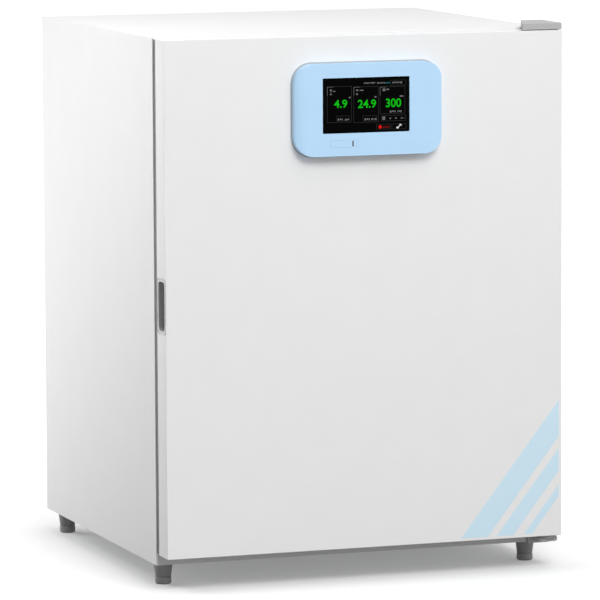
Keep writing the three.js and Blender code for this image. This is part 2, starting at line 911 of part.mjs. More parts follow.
function lowerHingeArm() {
  const right = bodyWidth / 2 - gap;
  const left = right - hingeArmWidth;
  const low = underside + lowerArmLift;
  const high = low + lowerArmThickness;
  const middle = (left + right) / 2;
  const outline = roundedRectangle(hingeArmWidth, lowerArmReach, lowerArmCorner, middle, -lowerArmReach / 2);
  const plate = upright(outline, low, high, softSteps);
  const behind = block(left - overrun, right + overrun, -gap, overrun, low - overrun, high + overrun);
  const root = block(left, right, -lowerArmThickness, -gap, underside - sheet, high);
  const hole = rod(hingePinRadius + gap, low + sheet, high + overrun, hingeX, hingeY, smallSides);
  return cut(join(plate.subtract(behind), root), hole);
}

function lowerHingePin() {
  const seat = underside + lowerArmLift + lowerArmThickness;
  const pin = turned([
    [0, seat - lowerArmThickness + sheet + gap],
    [hingePinRadius, seat - lowerArmThickness + sheet + gap],
    [hingePinRadius, seat + gap],
    [pinCollarRadius, seat + gap],
    [pinCollarRadius, doorBottom - gap],
    [hingePinRadius, doorBottom - gap],
    [hingePinRadius, doorBottom + hingePinDepth],
    [0, doorBottom + hingePinDepth],
  ]);
  return pin.translate([hingeX, hingeY, 0]);
}

addPiece(cabinet, "upper_hinge_arm", greyPlastic, upperHingeArm());
addPiece(cabinet, "upper_hinge_pin", brightSteel, upperHingePin());
addPiece(cabinet, "lower_hinge_arm", zincSteel, lowerHingeArm());
addPiece(cabinet, "lower_hinge_pin", brightSteel, lowerHingePin());

// Display housing: a plan outline with rolled margins, cut to the rounded front outline
function housingPlan(inset) {
  const half = housingWidth / 2 - inset;
  const front = -housingDepth + inset;
  const rollX = half - housingRoll;
  const rollY = front + housingRollDepth;
  const shape = new THREE.Shape();
  shape.moveTo(-half, -gap);
  shape.lineTo(-half, rollY);
  shape.absellipse(-rollX, rollY, housingRoll, housingRollDepth, Math.PI, Math.PI * 1.5);
  shape.lineTo(rollX, front);
  shape.absellipse(rollX, rollY, housingRoll, housingRollDepth, -Math.PI / 2, 0);
  shape.lineTo(half, -gap);
  return shape;
}

function housingBody(inset) {
  const tall = housingHeight / 2 - inset;
  const plan = upright(housingPlan(inset), -tall, tall, softSteps);
  const outline = roundedRectangle(
    housingWidth - 2 * inset,
    housingHeight - 2 * inset,
    housingRadius - inset,
  );
  return plan.intersect(frontal(outline, -housingDepth, 0, softSteps));
}

function displayHousing() {
  const window = roundedRectangle(screenWidth, screenHeight, sheet, screenShift, screenRise);
  const flapWindow = roundedRectangle(
    flapWidth + 2 * gap,
    flapHeight + 2 * gap,
    gap,
    flapX,
    -flapDrop,
  );
  return cut(
    housingBody(0),
    housingBody(housingWall).translate([0, overrun, 0]),
    housingBody(housingWall),
    frontal(window, -housingDepth - overrun, 0),
    frontal(flapWindow, -housingDepth - overrun, 0),
  );
}

function touchScreen() {
  const glass = roundedRectangle(
    screenWidth + 2 * screenMargin,
    screenHeight + 2 * screenMargin,
    screenMargin,
    screenShift,
    screenRise,
  );
  const face = roundedRectangle(
    screenWidth - 2 * gap,
    screenHeight - 2 * gap,
    sheet,
    screenShift,
    screenRise,
  );
  const seat = -housingDepth + housingWall + gap;
  return join(
    frontal(glass, seat, seat + screenThickness),
    frontal(face, -housingDepth + screenSink, seat + screenThickness / 2),
  );
}

function displayBoard() {
  const width = housingWidth - 2 * (housingWall + boardMargin);
  const height = housingHeight - 2 * (housingWall + gap);
  const front = -housingDepth + housingWall + 2 * gap + screenThickness;
  const outline = roundedRectangle(width, height, housingRadius / 2);
  const board = frontal(outline, front, front + boardThickness);
  const low = -flapDrop - socketHeight / 2;
  const high = low + socketHeight;
  const left = flapX - socketWidth / 2;
  const right = left + socketWidth;
  const face = -housingDepth + flapThickness + gap;
  const socket = block(left, right, face, front + boardThickness / 2, low, high);
  const mouth = block(left + sheet, right - sheet, face - overrun, front, low + sheet, high - sheet);
  return join(board, socket.subtract(mouth));
}

function portFlap() {
  const outline = roundedRectangle(flapWidth, flapHeight, flapCorner, flapX, -flapDrop);
  const plate = frontal(outline, -housingDepth, -housingDepth + flapThickness);
  const slitX = flapX - flapWidth / 2 + flapWidth * slitShare;
  const tall = flapHeight / 2 - sheet;
  const slit = block(
    slitX - slitWidth / 2,
    slitX + slitWidth / 2,
    -housingDepth - overrun,
    -housingDepth + flapThickness / 2,
    -flapDrop - tall,
    -flapDrop + tall,
  );
  return plate.subtract(slit);
}

addPiece(display, "display_housing", bluePlastic, displayHousing());
addPiece(display, "touch_screen", blackGlass, touchScreen());
addPiece(display, "display_board", boardGreen, displayBoard());
addPiece(display, "port_flap", bluePlastic, portFlap());

// Inner glass door
function innerSeal() {
  const width = chamberWidth + 2 * sheet;
  const height = chamberHeight + 2 * sheet;
  const ring = roundedRectangle(
    width + 2 * innerSealWidth - 2 * sheet,
    height + 2 * innerSealWidth,
    chamberRadius + innerSealWidth,
    0,
    chamberHeight / 2,
  );
  ring.holes.push(roundedRectangle(width, height, chamberRadius, 0, chamberHeight / 2));
  return frontal(ring, glassBack + gap, -gap);
}

function innerGlass() {
  const width = glassRight - glassLeft;
  const height = chamberHeight + 2 * (glassOverlap + innerSealWidth / 2);
  const middle = (glassLeft + glassRight) / 2;
  const outline = roundedRectangle(width, height, chamberRadius, middle, chamberHeight / 2);
  const hole = circleShape(hingeRodRadius + gap, glassLeft + knobInset, chamberHeight / 2);
  outline.holes.push(hole);
  return frontal(outline, glassFront, glassBack);
}

function glassHingeStrip() {
  const left = glassRight - stripWidth;
  const low = glassOverlap + lugHeight;
  const high = chamberHeight - glassOverlap - lugHeight;
  const thick = stripWall + gap;
  const channel = block(left, innerHingeX, glassFront - thick, glassFront - gap, low, high);
  const barrel = rod(barrelRadius, low, high, innerHingeX, glassMiddle);
  const below = low - overrun;
  const above = high + overrun;
  const bore = rod(hingeRodRadius + gap, below, above, innerHingeX, glassMiddle);
  const slot = block(left - overrun, glassRight + gap, glassFront - gap, glassBack + gap, below, above);
  return cut(join(channel, barrel), bore, slot);
}

// An eye round the rod, on a foot that stands on the front frame.
function hingeLug(low, high) {
  const eye = rod(barrelRadius, low, high, innerHingeX, glassMiddle);
  const left = innerHingeX - hingeRodRadius;
  return eye.add(block(left, left + lugFootWidth, glassMiddle, -gap, low, high));
}

function innerHingeRod() {
  const low = glassOverlap;
  const high = chamberHeight - glassOverlap;
  const shaft = rod(hingeRodRadius, low, high, innerHingeX, glassMiddle);
  const tall = lugHeight - gap;
  return join(shaft, hingeLug(low, low + tall), hingeLug(high - tall, high));
}

// The turn knob on the glass, with a tongue that points up when the door is free to open.
function latchKnob() {
  const stem = hingeRodRadius;
  const grip = turned([
    [0, -glassThickness],
    [stem, -glassThickness],
    [stem, gap],
    [knobRadius * knobNeckShare, gap],
    [knobRadius * knobNeckShare, tongueThickness + gap],
    [knobRadius, tongueThickness + gap * 2],
    [knobRadius, knobHeight - knobRadius * knobRoundShare],
    [knobRadius * (1 - knobRoundShare), knobHeight],
    [0, knobHeight],
  ]);
  const bar = slotShape(tongueWidth, tongueLength, 0, tongueLength / 2);
  const tongue = upright(bar, gap, gap + tongueThickness);
  const facing = faceFront(join(grip, tongue));
  return facing.translate([glassLeft + knobInset, glassFront, chamberHeight / 2]);
}

addPiece(opening, "inner_seal", clearSilicone, innerSeal());
addPiece(opening, "inner_glass", tintedGlass, innerGlass());
addPiece(opening, "glass_hinge_strip", castAluminium, glassHingeStrip());
addPiece(opening, "inner_hinge_rod", brightSteel, innerHingeRod());
addPiece(opening, "latch_knob", blackRubber, latchKnob());

// Orbital drive, from the pulleys in the bay up to the platform
const deckTop = panTop + gap + deckHeight - chamberFloor;
const housingTop = drainCollarHeight - sheet;
const slingerTop = drainCollarHeight + gap + slingerWall;
const crankLow = slingerTop + gap;
const crankTop = crankLow + crankThickness;
const carriageTop = carriageLift + carriageThickness;
const platformLow = carriageTop + padBossHeight + gap;
const pinTop = carriageTop - gap;
const pulleyTop = deckTop - deckThickness - pulleyFlangeThickness;
const pulleyLow = pulleyTop - pulleyWidth - 2 * pulleyFlangeThickness;

function idlerPlaces() {
  const turn = (Math.PI * 2) / idlerCount;
  const places = [];
  for (let i = 0; i < idlerCount; i++) {
    const angle = Math.PI / 2 + i * turn;
    places.push([Math.cos(angle) * idlerCircle, Math.sin(angle) * idlerCircle]);
  }
  return places;
}

function driveDeck() {
  const hat = hatShape(deckDepth, deckHeight, deckFlange, deckThickness);
  const deck = sideways(hat, -deckWidth / 2, deckWidth / 2);
  const bore = rod(housingTubeRadius + gap, 0, deckHeight + overrun, 0, 0, fineSides);
  return cut(deck, bore).translate([0, 0, deckTop - deckHeight]);
}

function driveBearingHousing() {
  const bore = shaftRadius + running;
  const seat = deckTop + gap;
  return turned([
    [bore, seat - deckThickness],
    [housingTubeRadius, seat - deckThickness],
    [housingTubeRadius, seat],
    [housingFlangeRadius, seat],
    [housingFlangeRadius, seat + housingFlangeThickness],
    [housingTubeRadius, seat + housingFlangeThickness],
    [housingTubeRadius, housingTop - housingBoreShoulder],
    [housingTubeRadius - housingBoreShoulder, housingTop],
    [bore, housingTop],
    [bore, seat - deckThickness],
  ], fineSides);
}

function driveShaft() {
  const shaft = rod(shaftRadius, -shaftBelow, crankTop, 0, 0, fineSides);
  const web = rod(crankRadius, crankLow, crankTop, 0, 0, fineSides);
  const pin = rod(crankPinRadius, crankLow, pinTop, orbitRadius, 0, fineSides);
  return join(shaft, web, pin);
}

// An umbrella on the shaft that keeps drips out of the raised collar.
function shaftSlinger() {
  const bore = shaftRadius + gap;
  const low = slingerTop - slingerSkirt;
  return turned([
    [bore, slingerTop - slingerWall],
    [slingerRadius - slingerWall, slingerTop - slingerWall],
    [slingerRadius - slingerWall, low],
    [slingerRadius, low],
    [slingerRadius, slingerTop - slingerWall / 2],
    [slingerRadius - slingerWall / 2, slingerTop],
    [bore, slingerTop],
    [bore, slingerTop - slingerWall],
  ]);
}

function counterweight() {
  const low = crankTop + gap;
  const chord = Math.acos(counterweightChord / counterweightRadius);
  const shape = new THREE.Shape();
  shape.absarc(0, 0, counterweightRadius, Math.PI - chord, Math.PI + chord);
  return upright(shape, low, low + counterweightThickness, softSteps * 2);
}

function drivePulley() {
  const bore = shaftRadius + gap;
  const rim = pulleyRadius + pulleyFlange;
  const low = pulleyLow;
  const high = pulleyTop;
  const middle = (low + high) / 2;
  const inner = pulleyRadius - pulleyWeb;
  let wheel = turned([
    [bore, low],
    [pulleyHubRadius, low],
    [pulleyHubRadius, middle - pulleyWeb / 2],
    [inner, middle - pulleyWeb / 2],
    [inner, low],
    [rim, low],
    [rim, low + pulleyFlangeThickness],
    [pulleyRadius, low + pulleyFlangeThickness],
    [pulleyRadius, high - pulleyFlangeThickness],
    [rim, high - pulleyFlangeThickness],
    [rim, high],
    [inner, high],
    [inner, middle + pulleyWeb / 2],
    [pulleyHubRadius, middle + pulleyWeb / 2],
    [pulleyHubRadius, high],
    [bore, high],
    [bore, low],
  ], fineSides);
  const circle = (pulleyHubRadius + inner) / 2;
  for (let i = 0; i < pulleyHoles; i++) {
    const angle = (i * Math.PI * 2) / pulleyHoles;
    const x = Math.cos(angle) * circle;
    const y = Math.sin(angle) * circle;
    wheel = wheel.subtract(rod(pulleyHoleRadius, low, high, x, y, smallSides));
  }
  return wheel;
}

function motorPulley() {
  const rim = motorPulleyRadius + pulleyFlange;
  const low = pulleyLow;
  const high = pulleyTop;
  const bracketTop = panTop + gap + bracketHeight - chamberFloor;
  return turned([
    [0, bracketTop - motorFlangeThickness * 2],
    [motorShaftRadius, bracketTop - motorFlangeThickness * 2],
    [motorShaftRadius, low],
    [rim, low],
    [rim, low + pulleyFlangeThickness],
    [motorPulleyRadius, low + pulleyFlangeThickness],
    [motorPulleyRadius, high - pulleyFlangeThickness],
    [rim, high - pulleyFlangeThickness],
    [rim, high],
    [0, high],
  ]).translate([motorDistance, 0, 0]);
}

// The loop that two circles and their outer tangents make, as an outline.
function beltLoop(largeRadius, smallRadius) {
  const lean = Math.acos((largeRadius - smallRadius) / motorDistance);
  const shape = new THREE.Shape();
  shape.absarc(motorDistance, 0, smallRadius, -lean, lean);
  shape.absarc(0, 0, largeRadius, lean, Math.PI * 2 - lean);
  return shape;
}

function driveBelt() {
  const low = pulleyLow + pulleyFlangeThickness + gap;
  const high = pulleyTop - pulleyFlangeThickness - gap;
  const inner = beltLoop(pulleyRadius + gap, motorPulleyRadius + gap);
  const outer = beltLoop(pulleyRadius + gap + beltThickness, motorPulleyRadius + gap + beltThickness);
  outer.holes.push(inner);
  return upright(outer, low, high, softSteps * 3);
}

function motorBracket() {
  const hat = hatShape(bracketDepth, bracketHeight, bracketFlange, bracketThickness);
  const left = motorDistance - bracketWidth / 2;
  const bridge = sideways(hat, left, left + bracketWidth);
  const bore = rod(motorShaftRadius + 2 * gap, 0, bracketHeight + overrun, motorDistance, 0);
  return cut(bridge, bore).translate([0, 0, panTop + gap - chamberFloor]);
}

function shakerMotor() {
  const low = panTop + motorFloorGap - chamberFloor;
  const high = panTop + bracketHeight - bracketThickness - chamberFloor;
  const flangeLow = high - motorFlangeThickness;
  const bore = motorShaftRadius + gap;
  const pitch = (flangeLow - low) / (2 * motorFins + 1);
  const profile = [[0, low], [motorRadius, low]];
  for (let i = 0; i < motorFins; i++) {
    const z = low + pitch * (2 * i + 1);
    profile.push([motorRadius, z], [motorRadius - finDepth, z]);
    profile.push([motorRadius - finDepth, z + pitch], [motorRadius, z + pitch]);
  }
  profile.push([motorRadius, flangeLow], [motorFlangeRadius, flangeLow], [motorFlangeRadius, high]);
  profile.push([bore, high], [bore, high - motorFlangeThickness * 2], [0, high - motorFlangeThickness * 2]);
  return turned(profile, fineSides).translate([motorDistance, 0, 0]);
}

function idlerBearing() {
  const bore = idlerJournalRadius + running;
  const floor = idlerBaseThickness / 2;
  return turned([
    [0, gap],
    [idlerBaseRadius, gap],
    [idlerBaseRadius, idlerBaseThickness],
    [idlerBodyRadius, idlerBaseThickness + sheet],
    [idlerBodyRadius, idlerBodyHeight - sheet],
    [idlerBodyRadius - sheet, idlerBodyHeight],
    [bore, idlerBodyHeight],
    [bore, floor],
    [0, floor],
  ], fineSides);
}

function idlerCrank() {
  const low = idlerBodyHeight + gap;
  const high = low + idlerWebThickness;
  const large = idlerJournalRadius + idlerWebMargin;
  const small = idlerPinRadius + idlerWebMargin;
  const lean = Math.acos((large - small) / orbitRadius);
  const web = new THREE.Shape();
  web.absarc(orbitRadius, 0, small, -lean, lean);
  web.absarc(0, 0, large, lean, Math.PI * 2 - lean);
  const journal = rod(idlerJournalRadius, idlerBaseThickness / 2 + gap, high, 0, 0, fineSides);
  const pin = rod(idlerPinRadius, low, pinTop, orbitRadius, 0, fineSides);
  return join(upright(web, low, high, softSteps), journal, pin);
}

// The hubs of the carriage stand over the pins: the middle one on the crank, the others on the idlers.
function carriage() {
  const half = carriageSize / 2;
  const hubLow = carriageLift - carriageHubDrop;
  const outline = roundedRectangle(carriageSize, carriageSize, carriageRadius);
  const below = hubLow - overrun;
  const above = carriageTop + overrun;
  let frame = upright(outline, carriageLift, carriageTop, softSteps);
  frame = frame.add(rod(carriageHubRadius, hubLow, carriageLift + sheet));
  for (const [x, y] of idlerPlaces()) {
    frame = frame.add(rod(carriageHubRadius, hubLow, carriageLift + sheet, x, y));
    frame = frame.subtract(rod(idlerPinRadius + gap, below, above, x, y, fineSides));
  }
  frame = frame.subtract(rod(crankPinRadius + running, below, above, 0, 0, fineSides));
  for (const [sx, sy] of [[-1, -1], [1, -1], [-1, 1], [1, 1]]) {
    const bossX = sx * (half - padBossInset);
    const bossY = sy * (half - padBossInset);
    const bossTop = carriageTop + padBossHeight;
    frame = frame.add(rod(padBossRadius, carriageTop - sheet, bossTop, bossX, bossY, smallSides));
    const holeY = sy < 0 ? -carriageHoleFront : carriageHoleBack;
    frame = frame.subtract(rod(carriageHoleRadius, below, above, sx * carriageHoleSide, holeY));
  }
  return frame.translate([orbitRadius, 0, 0]);
}

function platform() {
  const high = platformLow + platformThickness;
  const outline = roundedRectangle(platformWidth, platformDepth, platformRadius);
  const inside = roundedRectangle(
    platformWidth - 2 * platformThickness,
    platformDepth - 2 * platformThickness,
    platformRadius - platformThickness,
  );
  for (let row = 0; row < platformHoleRows; row++) {
    for (let column = 0; column < platformHoleRows; column++) {
      const x = (column - (platformHoleRows - 1) / 2) * platformHolePitchX;
      const y = (row - (platformHoleRows - 1) / 2) * platformHolePitchY;
      outline.holes.push(circleShape(platformHoleRadius, x, y, 2));
    }
  }
  const tray = upright(outline, high - platformLip, high, cornerSteps);
  return tray.subtract(upright(inside, 0, platformLow, cornerSteps)).translate([orbitRadius, 0, 0]);
}

addPiece(drive, "drive_deck", zincSteel, driveDeck());
addPiece(drive, "drive_bearing_housing", castAluminium, driveBearingHousing());
addPiece(drive, "drive_shaft", brightSteel, driveShaft());
addPiece(drive, "shaft_slinger", blackRubber, shaftSlinger());
addPiece(drive, "counterweight", zincSteel, counterweight());
addPiece(drive, "drive_pulley", castAluminium, drivePulley());
addPiece(drive, "drive_belt", blackRubber, driveBelt());
addPiece(drive, "motor_pulley", castAluminium, motorPulley());
addPiece(drive, "motor_bracket", zincSteel, motorBracket());
addPiece(drive, "shaker_motor", blackPaint, shakerMotor());
addPiece(drive, "carriage", castAluminium, carriage());
addPiece(drive, "platform", stainless, platform());
idlerPlaces().forEach(([x, y], i) => {
  const station = groupAt(drive, x, y, 0);
  addPiece(station, "idler_bearing_" + (i + 1), castAluminium, idlerBearing());
  addPiece(station, "idler_crank_" + (i + 1), brightSteel, idlerCrank());
});

// Circulation fan, its motor behind the foam and its duct cover
const impellerBack = -sheet - overrun;

function fanImpeller() {
  const low = -impellerBack;
  const disc = rod(impellerRadius, low, low + impellerDisc, 0, 0, fineSides);
  const hub = rod(impellerHubRadius, low, low + impellerWidth);
  const shaftEnd = -(foamBack - chamberBack) - fanMotorLength / 2;
  const shaft = rod(fanShaftRadius, shaftEnd, low + impellerWidth, 0, 0, smallSides);
  let wheel = join(disc, hub, shaft);
  const tip = impellerRadius - bladeThickness;
  const middle = (bladeRoot + tip) / 2;
  const bend = (tip - bladeRoot) / 2;
  const lead = THREE.MathUtils.degToRad(bladeLead);
  const outline = new THREE.Shape();
  outline.absarc(middle, 0, bend, lead, Math.PI - lead);
  outline.absarc(middle, 0, bend - bladeThickness, Math.PI - lead, lead, true);
  const blade = upright(outline, low, low + impellerWidth, cornerSteps);
  const pitch = THREE.MathUtils.radToDeg(Math.PI * 2) / impellerBlades;
  for (let i = 0; i < impellerBlades; i++) {
    wheel = wheel.add(blade.rotate([0, 0, i * pitch]));
  }
  return faceFront(wheel);
}

function fanMotor() {
  const seat = foamBack - chamberBack + gap;
  const bore = fanShaftRadius + gap;
  return faceFront(turned([
    [bore, -seat],
    [fanMotorFlange, -seat],
    [fanMotorFlange, -seat - sheet * 2],
    [fanMotorRadius, -seat - sheet * 2],
    [fanMotorRadius, -seat - fanMotorLength + sheet],
    [fanMotorRadius - sheet, -seat - fanMotorLength],
    [0, -seat - fanMotorLength],
    [0, -seat - fanMotorLength * fanBoreShare],
    [bore, -seat - fanMotorLength * fanBoreShare],
    [bore, -seat],
  ]));
}

// A pressed tray over the fan: slots in a round field at the intake, two rows of outlets at the ends.
function ductCover() {
  const middle = ductLift + ductHeight / 2 - fanHeight;
  const outline = (grow, radius) => {
    return roundedRectangle(ductWidth + 2 * grow, ductHeight + 2 * grow, radius, 0, middle);
  };
  const face = frontal(outline(0, ductRadius), -ductDepth, -gap);
  const foot = frontal(outline(ductFlange, ductRadius), -gap - sheet, -gap);
  const inside = frontal(outline(-sheet, ductRadius - sheet), -ductDepth + sheet, overrun);
  let tray = cut(join(face, foot), inside);
  for (let i = 0; i < intakeSlots; i++) {
    const z = (i - (intakeSlots - 1) / 2) * ((2 * intakeRadius) / intakeSlots);
    const length = 2 * Math.sqrt(intakeRadius * intakeRadius - z * z);
    const slot = slotShape(length, slotWidth, 0, z);
    tray = tray.subtract(frontal(slot, -ductDepth - overrun, -ductDepth + 2 * sheet, 1));
  }
  for (const end of [-1, 1]) {
    for (let i = 0; i < outletSlots; i++) {
      const x = (i - (outletSlots - 1) / 2) * (ductWidth / (outletSlots + 1));
      const z = middle + end * (ductHeight / 2 - outletInset);
      const slot = slotShape(outletLength, slotWidth, x, z);
      tray = tray.subtract(frontal(slot, -ductDepth - overrun, -ductDepth + 2 * sheet, 1));
    }
  }
  return tray;
}

function temperatureProbe() {
  return faceFront(turned([
    [0, -probeTail],
    [glandRadius - gap, -probeTail],
    [glandRadius - gap, gap],
    [glandRadius + sheet, gap],
    [glandRadius + sheet, glandLength],
    [probeRadius, glandLength + sheet],
    [probeRadius, probeLength - probeRadius],
    [probeRadius / 2, probeLength],
    [0, probeLength],
  ], smallSides)).translate([probeX, 0, probeHeight - fanHeight]);
}

function gasSensor() {
  return faceFront(turned([
    [0, -probeTail],
    [sensorBase - gap, -probeTail],
    [sensorBase - gap, gap],
    [sensorBase + sheet, gap],
    [sensorBase + sheet, glandLength],
    [sensorRadius, glandLength + sheet],
    [sensorRadius, sensorLength - sensorRadius / 2],
    [sensorRadius / 2, sensorLength],
    [0, sensorLength],
  ])).translate([-probeX, 0, probeHeight - fanHeight]);
}

addPiece(fan, "fan_impeller", darkPlastic, fanImpeller());
addPiece(fan, "fan_motor", blackPaint, fanMotor());
addPiece(fan, "duct_cover", stainless, ductCover());
addPiece(fan, "temperature_probe", brightSteel, temperatureProbe());
addPiece(fan, "co2_sensor", greyPlastic, gasSensor());

// Electrics in the bay and on the back
function powerSupply() {
  const low = panTop + gap;
  const x0 = supplyX - supplyWidth / 2;
  const y0 = supplyY - supplyDepth / 2;
  let box = block(x0, x0 + supplyWidth, y0, y0 + supplyDepth, low, low + supplyHeight);
  for (let i = 1; i < ventSlots; i++) {
    const x = x0 + (i * supplyWidth) / ventSlots;
    const slot = slotShape(louvreWidth, supplyDepth / 2, x, supplyY);
    box = box.subtract(upright(slot, low + supplyHeight - 2 * sheet, low + supplyHeight + overrun, 1));
  }
  return box;
}

// A board on four posts, on the back of the foam, in the group of the rear wall.
function controlBoard() {
  const seat = foamBack + gap - bodyDepth;
  const halfWidth = panelBoardWidth / 2;
  const halfHeight = panelBoardHeight / 2;
  const face = seat + standoffHeight;
  const low = panelBoardZ - halfHeight;
  const high = panelBoardZ + halfHeight;
  const left = panelBoardX - halfWidth;
  const right = panelBoardX + halfWidth;
  let board = block(left, right, face, face + boardThickness, low, high);
  for (const [sx, sz] of [[-1, -1], [1, -1], [-1, 1], [1, 1]]) {
    const x = panelBoardX + sx * (halfWidth - 2 * standoffRadius);
    const z = panelBoardZ + sz * (halfHeight - 2 * standoffRadius);
    const post = faceFront(rod(standoffRadius, 0, standoffHeight + weld, 0, 0, smallSides));
    board = board.add(post.translate([x, face + weld, z]));
  }
  return board;
}

function powerInlet() {
  const bezel = roundedRectangle(inletWidth, inletTall, inletCornerRadius, inletX, inletHeight);
  const body = roundedRectangle(
    inletWidth - 2 * inletFlange,
    inletTall - 2 * inletFlange,
    inletCornerRadius,
    inletX,
    inletHeight,
  );
  const outside = sheet + gap;
  const face = outside + inletFlange;
  const quarter = inletWidth / 4;
  const socketX = inletX - quarter + inletFlange / 2;
  const recess = roundedRectangle(
    inletWidth / 2 - 2 * inletFlange,
    inletTall - 3 * inletFlange,
    inletFlange,
    socketX,
    inletHeight,
  );
  const rockerX = inletX + quarter;
  const window = block(
    rockerX - rockerWidth / 2 - gap,
    rockerX + rockerWidth / 2 + gap,
    face - rockerDepth - rockerProud,
    face + overrun,
    inletHeight - rockerHeight / 2 - gap,
    inletHeight + rockerHeight / 2 + gap,
  );
  let inlet = cut(
    join(frontal(bezel, outside, face), frontal(body, -inletDepth, face)),
    frontal(recess, face - socketRecess, face + overrun),
    window,
  );
  const half = contactWidth / 2;
  const tall = contactHeight / 2;
  const root = face - socketRecess - sheet;
  for (const [dx, dz] of [[-1, -1], [0, 1], [1, -1]]) {
    const x = socketX + dx * contactPitch;
    const z = inletHeight + dz * tall;
    inlet = inlet.add(block(x - half, x + half, root, face - sheet, z - tall, z + tall));
  }
  return inlet;
}

// A rocker that turns about a level axis at the face of the inlet.
function powerSwitch() {
  const half = rockerHeight / 2 - rockerProud / 2;
  const face = sheet + gap + inletFlange;
  const outline = polygon([
    [face - rockerDepth / 2, inletHeight - half],
    [face, inletHeight - half],
    [face + rockerProud / 2, inletHeight],
    [face + rockerProud, inletHeight + half],
    [face - rockerDepth / 2, inletHeight + half],
    [face - rockerDepth, inletHeight],
  ]);
  const middle = inletX + inletWidth / 4;
  return sideways(outline, middle - rockerWidth / 2, middle + rockerWidth / 2);
}

function gasInlet() {
  const nut = sheet + gap;
  const barb = gasRadius + sheet;
  return faceFront(turned([
    [0, inletDepth],
    [gasRadius, inletDepth],
    [gasRadius, -nut],
    [gasNutRadius, -nut],
    [gasNutRadius, -nut - inletFlange],
    [gasRadius, -nut - inletFlange],
    [gasRadius, -gasReach + inletFlange * 2],
    [barb, -gasReach + inletFlange * 2],
    [gasRadius - sheet / 2, -gasReach],
    [0, -gasReach],
  ], smallSides)).translate([gasX, 0, gasHeight]);
}

addPiece(cabinet, "power_supply", zincSteel, powerSupply());
addPiece(rear, "control_board", boardGreen, controlBoard());
addPiece(rear, "power_inlet", darkPlastic, powerInlet());
addPiece(rear, "power_switch", blackRubber, powerSwitch());
addPiece(rear, "co2_inlet", brightSteel, gasInlet());

export default machine;
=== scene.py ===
# %% [markdown]
# # Incubated benchtop shaker
# The real machine is a heated cabinet with a front door, a touch display on the door, an inner
# glass door and a platform that shakes flasks in a circle. The solids come from the part's own
# source, so this file only gives them their surfaces, edges, small fittings, light and camera.

import bpy
import bmesh
import json
import math
from functools import partial
from mathutils import Matrix, Vector

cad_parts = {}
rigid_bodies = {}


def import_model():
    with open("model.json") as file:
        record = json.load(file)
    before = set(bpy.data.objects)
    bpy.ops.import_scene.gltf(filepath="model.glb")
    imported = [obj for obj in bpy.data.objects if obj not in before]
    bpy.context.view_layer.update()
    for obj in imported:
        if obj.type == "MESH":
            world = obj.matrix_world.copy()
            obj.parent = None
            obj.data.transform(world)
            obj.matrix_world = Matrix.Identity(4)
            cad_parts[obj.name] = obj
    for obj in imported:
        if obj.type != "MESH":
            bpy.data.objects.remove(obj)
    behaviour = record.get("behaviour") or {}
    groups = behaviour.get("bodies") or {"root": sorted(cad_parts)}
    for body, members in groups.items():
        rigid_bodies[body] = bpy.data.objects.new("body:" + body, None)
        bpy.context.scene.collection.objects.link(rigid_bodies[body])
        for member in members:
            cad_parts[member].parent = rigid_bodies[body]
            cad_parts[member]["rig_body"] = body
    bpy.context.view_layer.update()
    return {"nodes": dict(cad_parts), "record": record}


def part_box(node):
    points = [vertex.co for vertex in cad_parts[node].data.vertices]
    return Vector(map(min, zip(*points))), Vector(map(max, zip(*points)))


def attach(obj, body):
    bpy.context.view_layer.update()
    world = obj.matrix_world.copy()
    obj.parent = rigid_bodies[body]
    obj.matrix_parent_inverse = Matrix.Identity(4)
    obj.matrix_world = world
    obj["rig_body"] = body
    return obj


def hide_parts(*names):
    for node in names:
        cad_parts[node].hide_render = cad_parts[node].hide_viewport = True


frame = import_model()

# %% [markdown]
# ## Camera
# The photograph is a product shot taken from far off with a long lens, so parallel edges stay
# nearly parallel. The place and lens were solved from corners of the cabinet in the picture. A
# solved camera is set as a matrix, because three angles would hide a small roll.

# %% Camera
def new_object(name, data):
    """An object with this data, linked to the scene."""
    item = bpy.data.objects.new(name, data)
    bpy.context.scene.collection.objects.link(item)
    return item


camera_data = bpy.data.cameras.new("photo_camera")
camera_data.lens = 291.12
camera_data.sensor_width = 36
camera_data.clip_end = 100
camera = new_object("photo_camera", camera_data)
camera.matrix_world = Matrix(
    (
        (0.94330, 0.04333, -0.32910, -2.75471),
        (-0.33190, 0.10919, -0.93697, -7.86240),
        (-0.00466, 0.99308, 0.11738, 1.41898),
        (0, 0, 0, 1),
    )
)
bpy.context.scene.camera = camera
print("camera at", [round(v, 3) for v in camera.matrix_world.translation])

# %% [markdown]
# ## Colours and nodes
# A listed colour is an sRGB value, while a shader wants light in linear amounts. One
# function turns a web colour into linear light. A second one adds a shader or geometry node and
# fills its sockets, so that each material reads as a short list of what it is made of.

# %% Colours and nodes
mm = 0.001


def linear(web_colour):
    """A web colour as linear light."""
    parts = [int(web_colour[i : i + 2], 16) / 255 for i in (1, 3, 5)]
    light = [p / 12.92 if p <= 0.04045 else ((p + 0.055) / 1.055) ** 2.4 for p in parts]
    return (*light, 1.0)


def add_node(tree, kind, inputs=None, **settings):
    """A node with these settings. An input is a value, or an output of another node."""
    node = tree.nodes.new(kind)
    for name, value in settings.items():
        setattr(node, name, value)
    for name, value in (inputs or {}).items():
        if isinstance(value, bpy.types.NodeSocket):
            tree.links.new(value, node.inputs[name])
        else:
            node.inputs[name].default_value = value
    return node


def calculate(tree, operation, *values):
    """The number that a Math node makes of these values."""
    node = add_node(tree, "ShaderNodeMath", dict(enumerate(values)), operation=operation)
    return node.outputs[0]


def empty_material(name):
    material = bpy.data.materials.new(name)
    material.use_nodes = True
    material.node_tree.nodes.clear()
    return material, material.node_tree


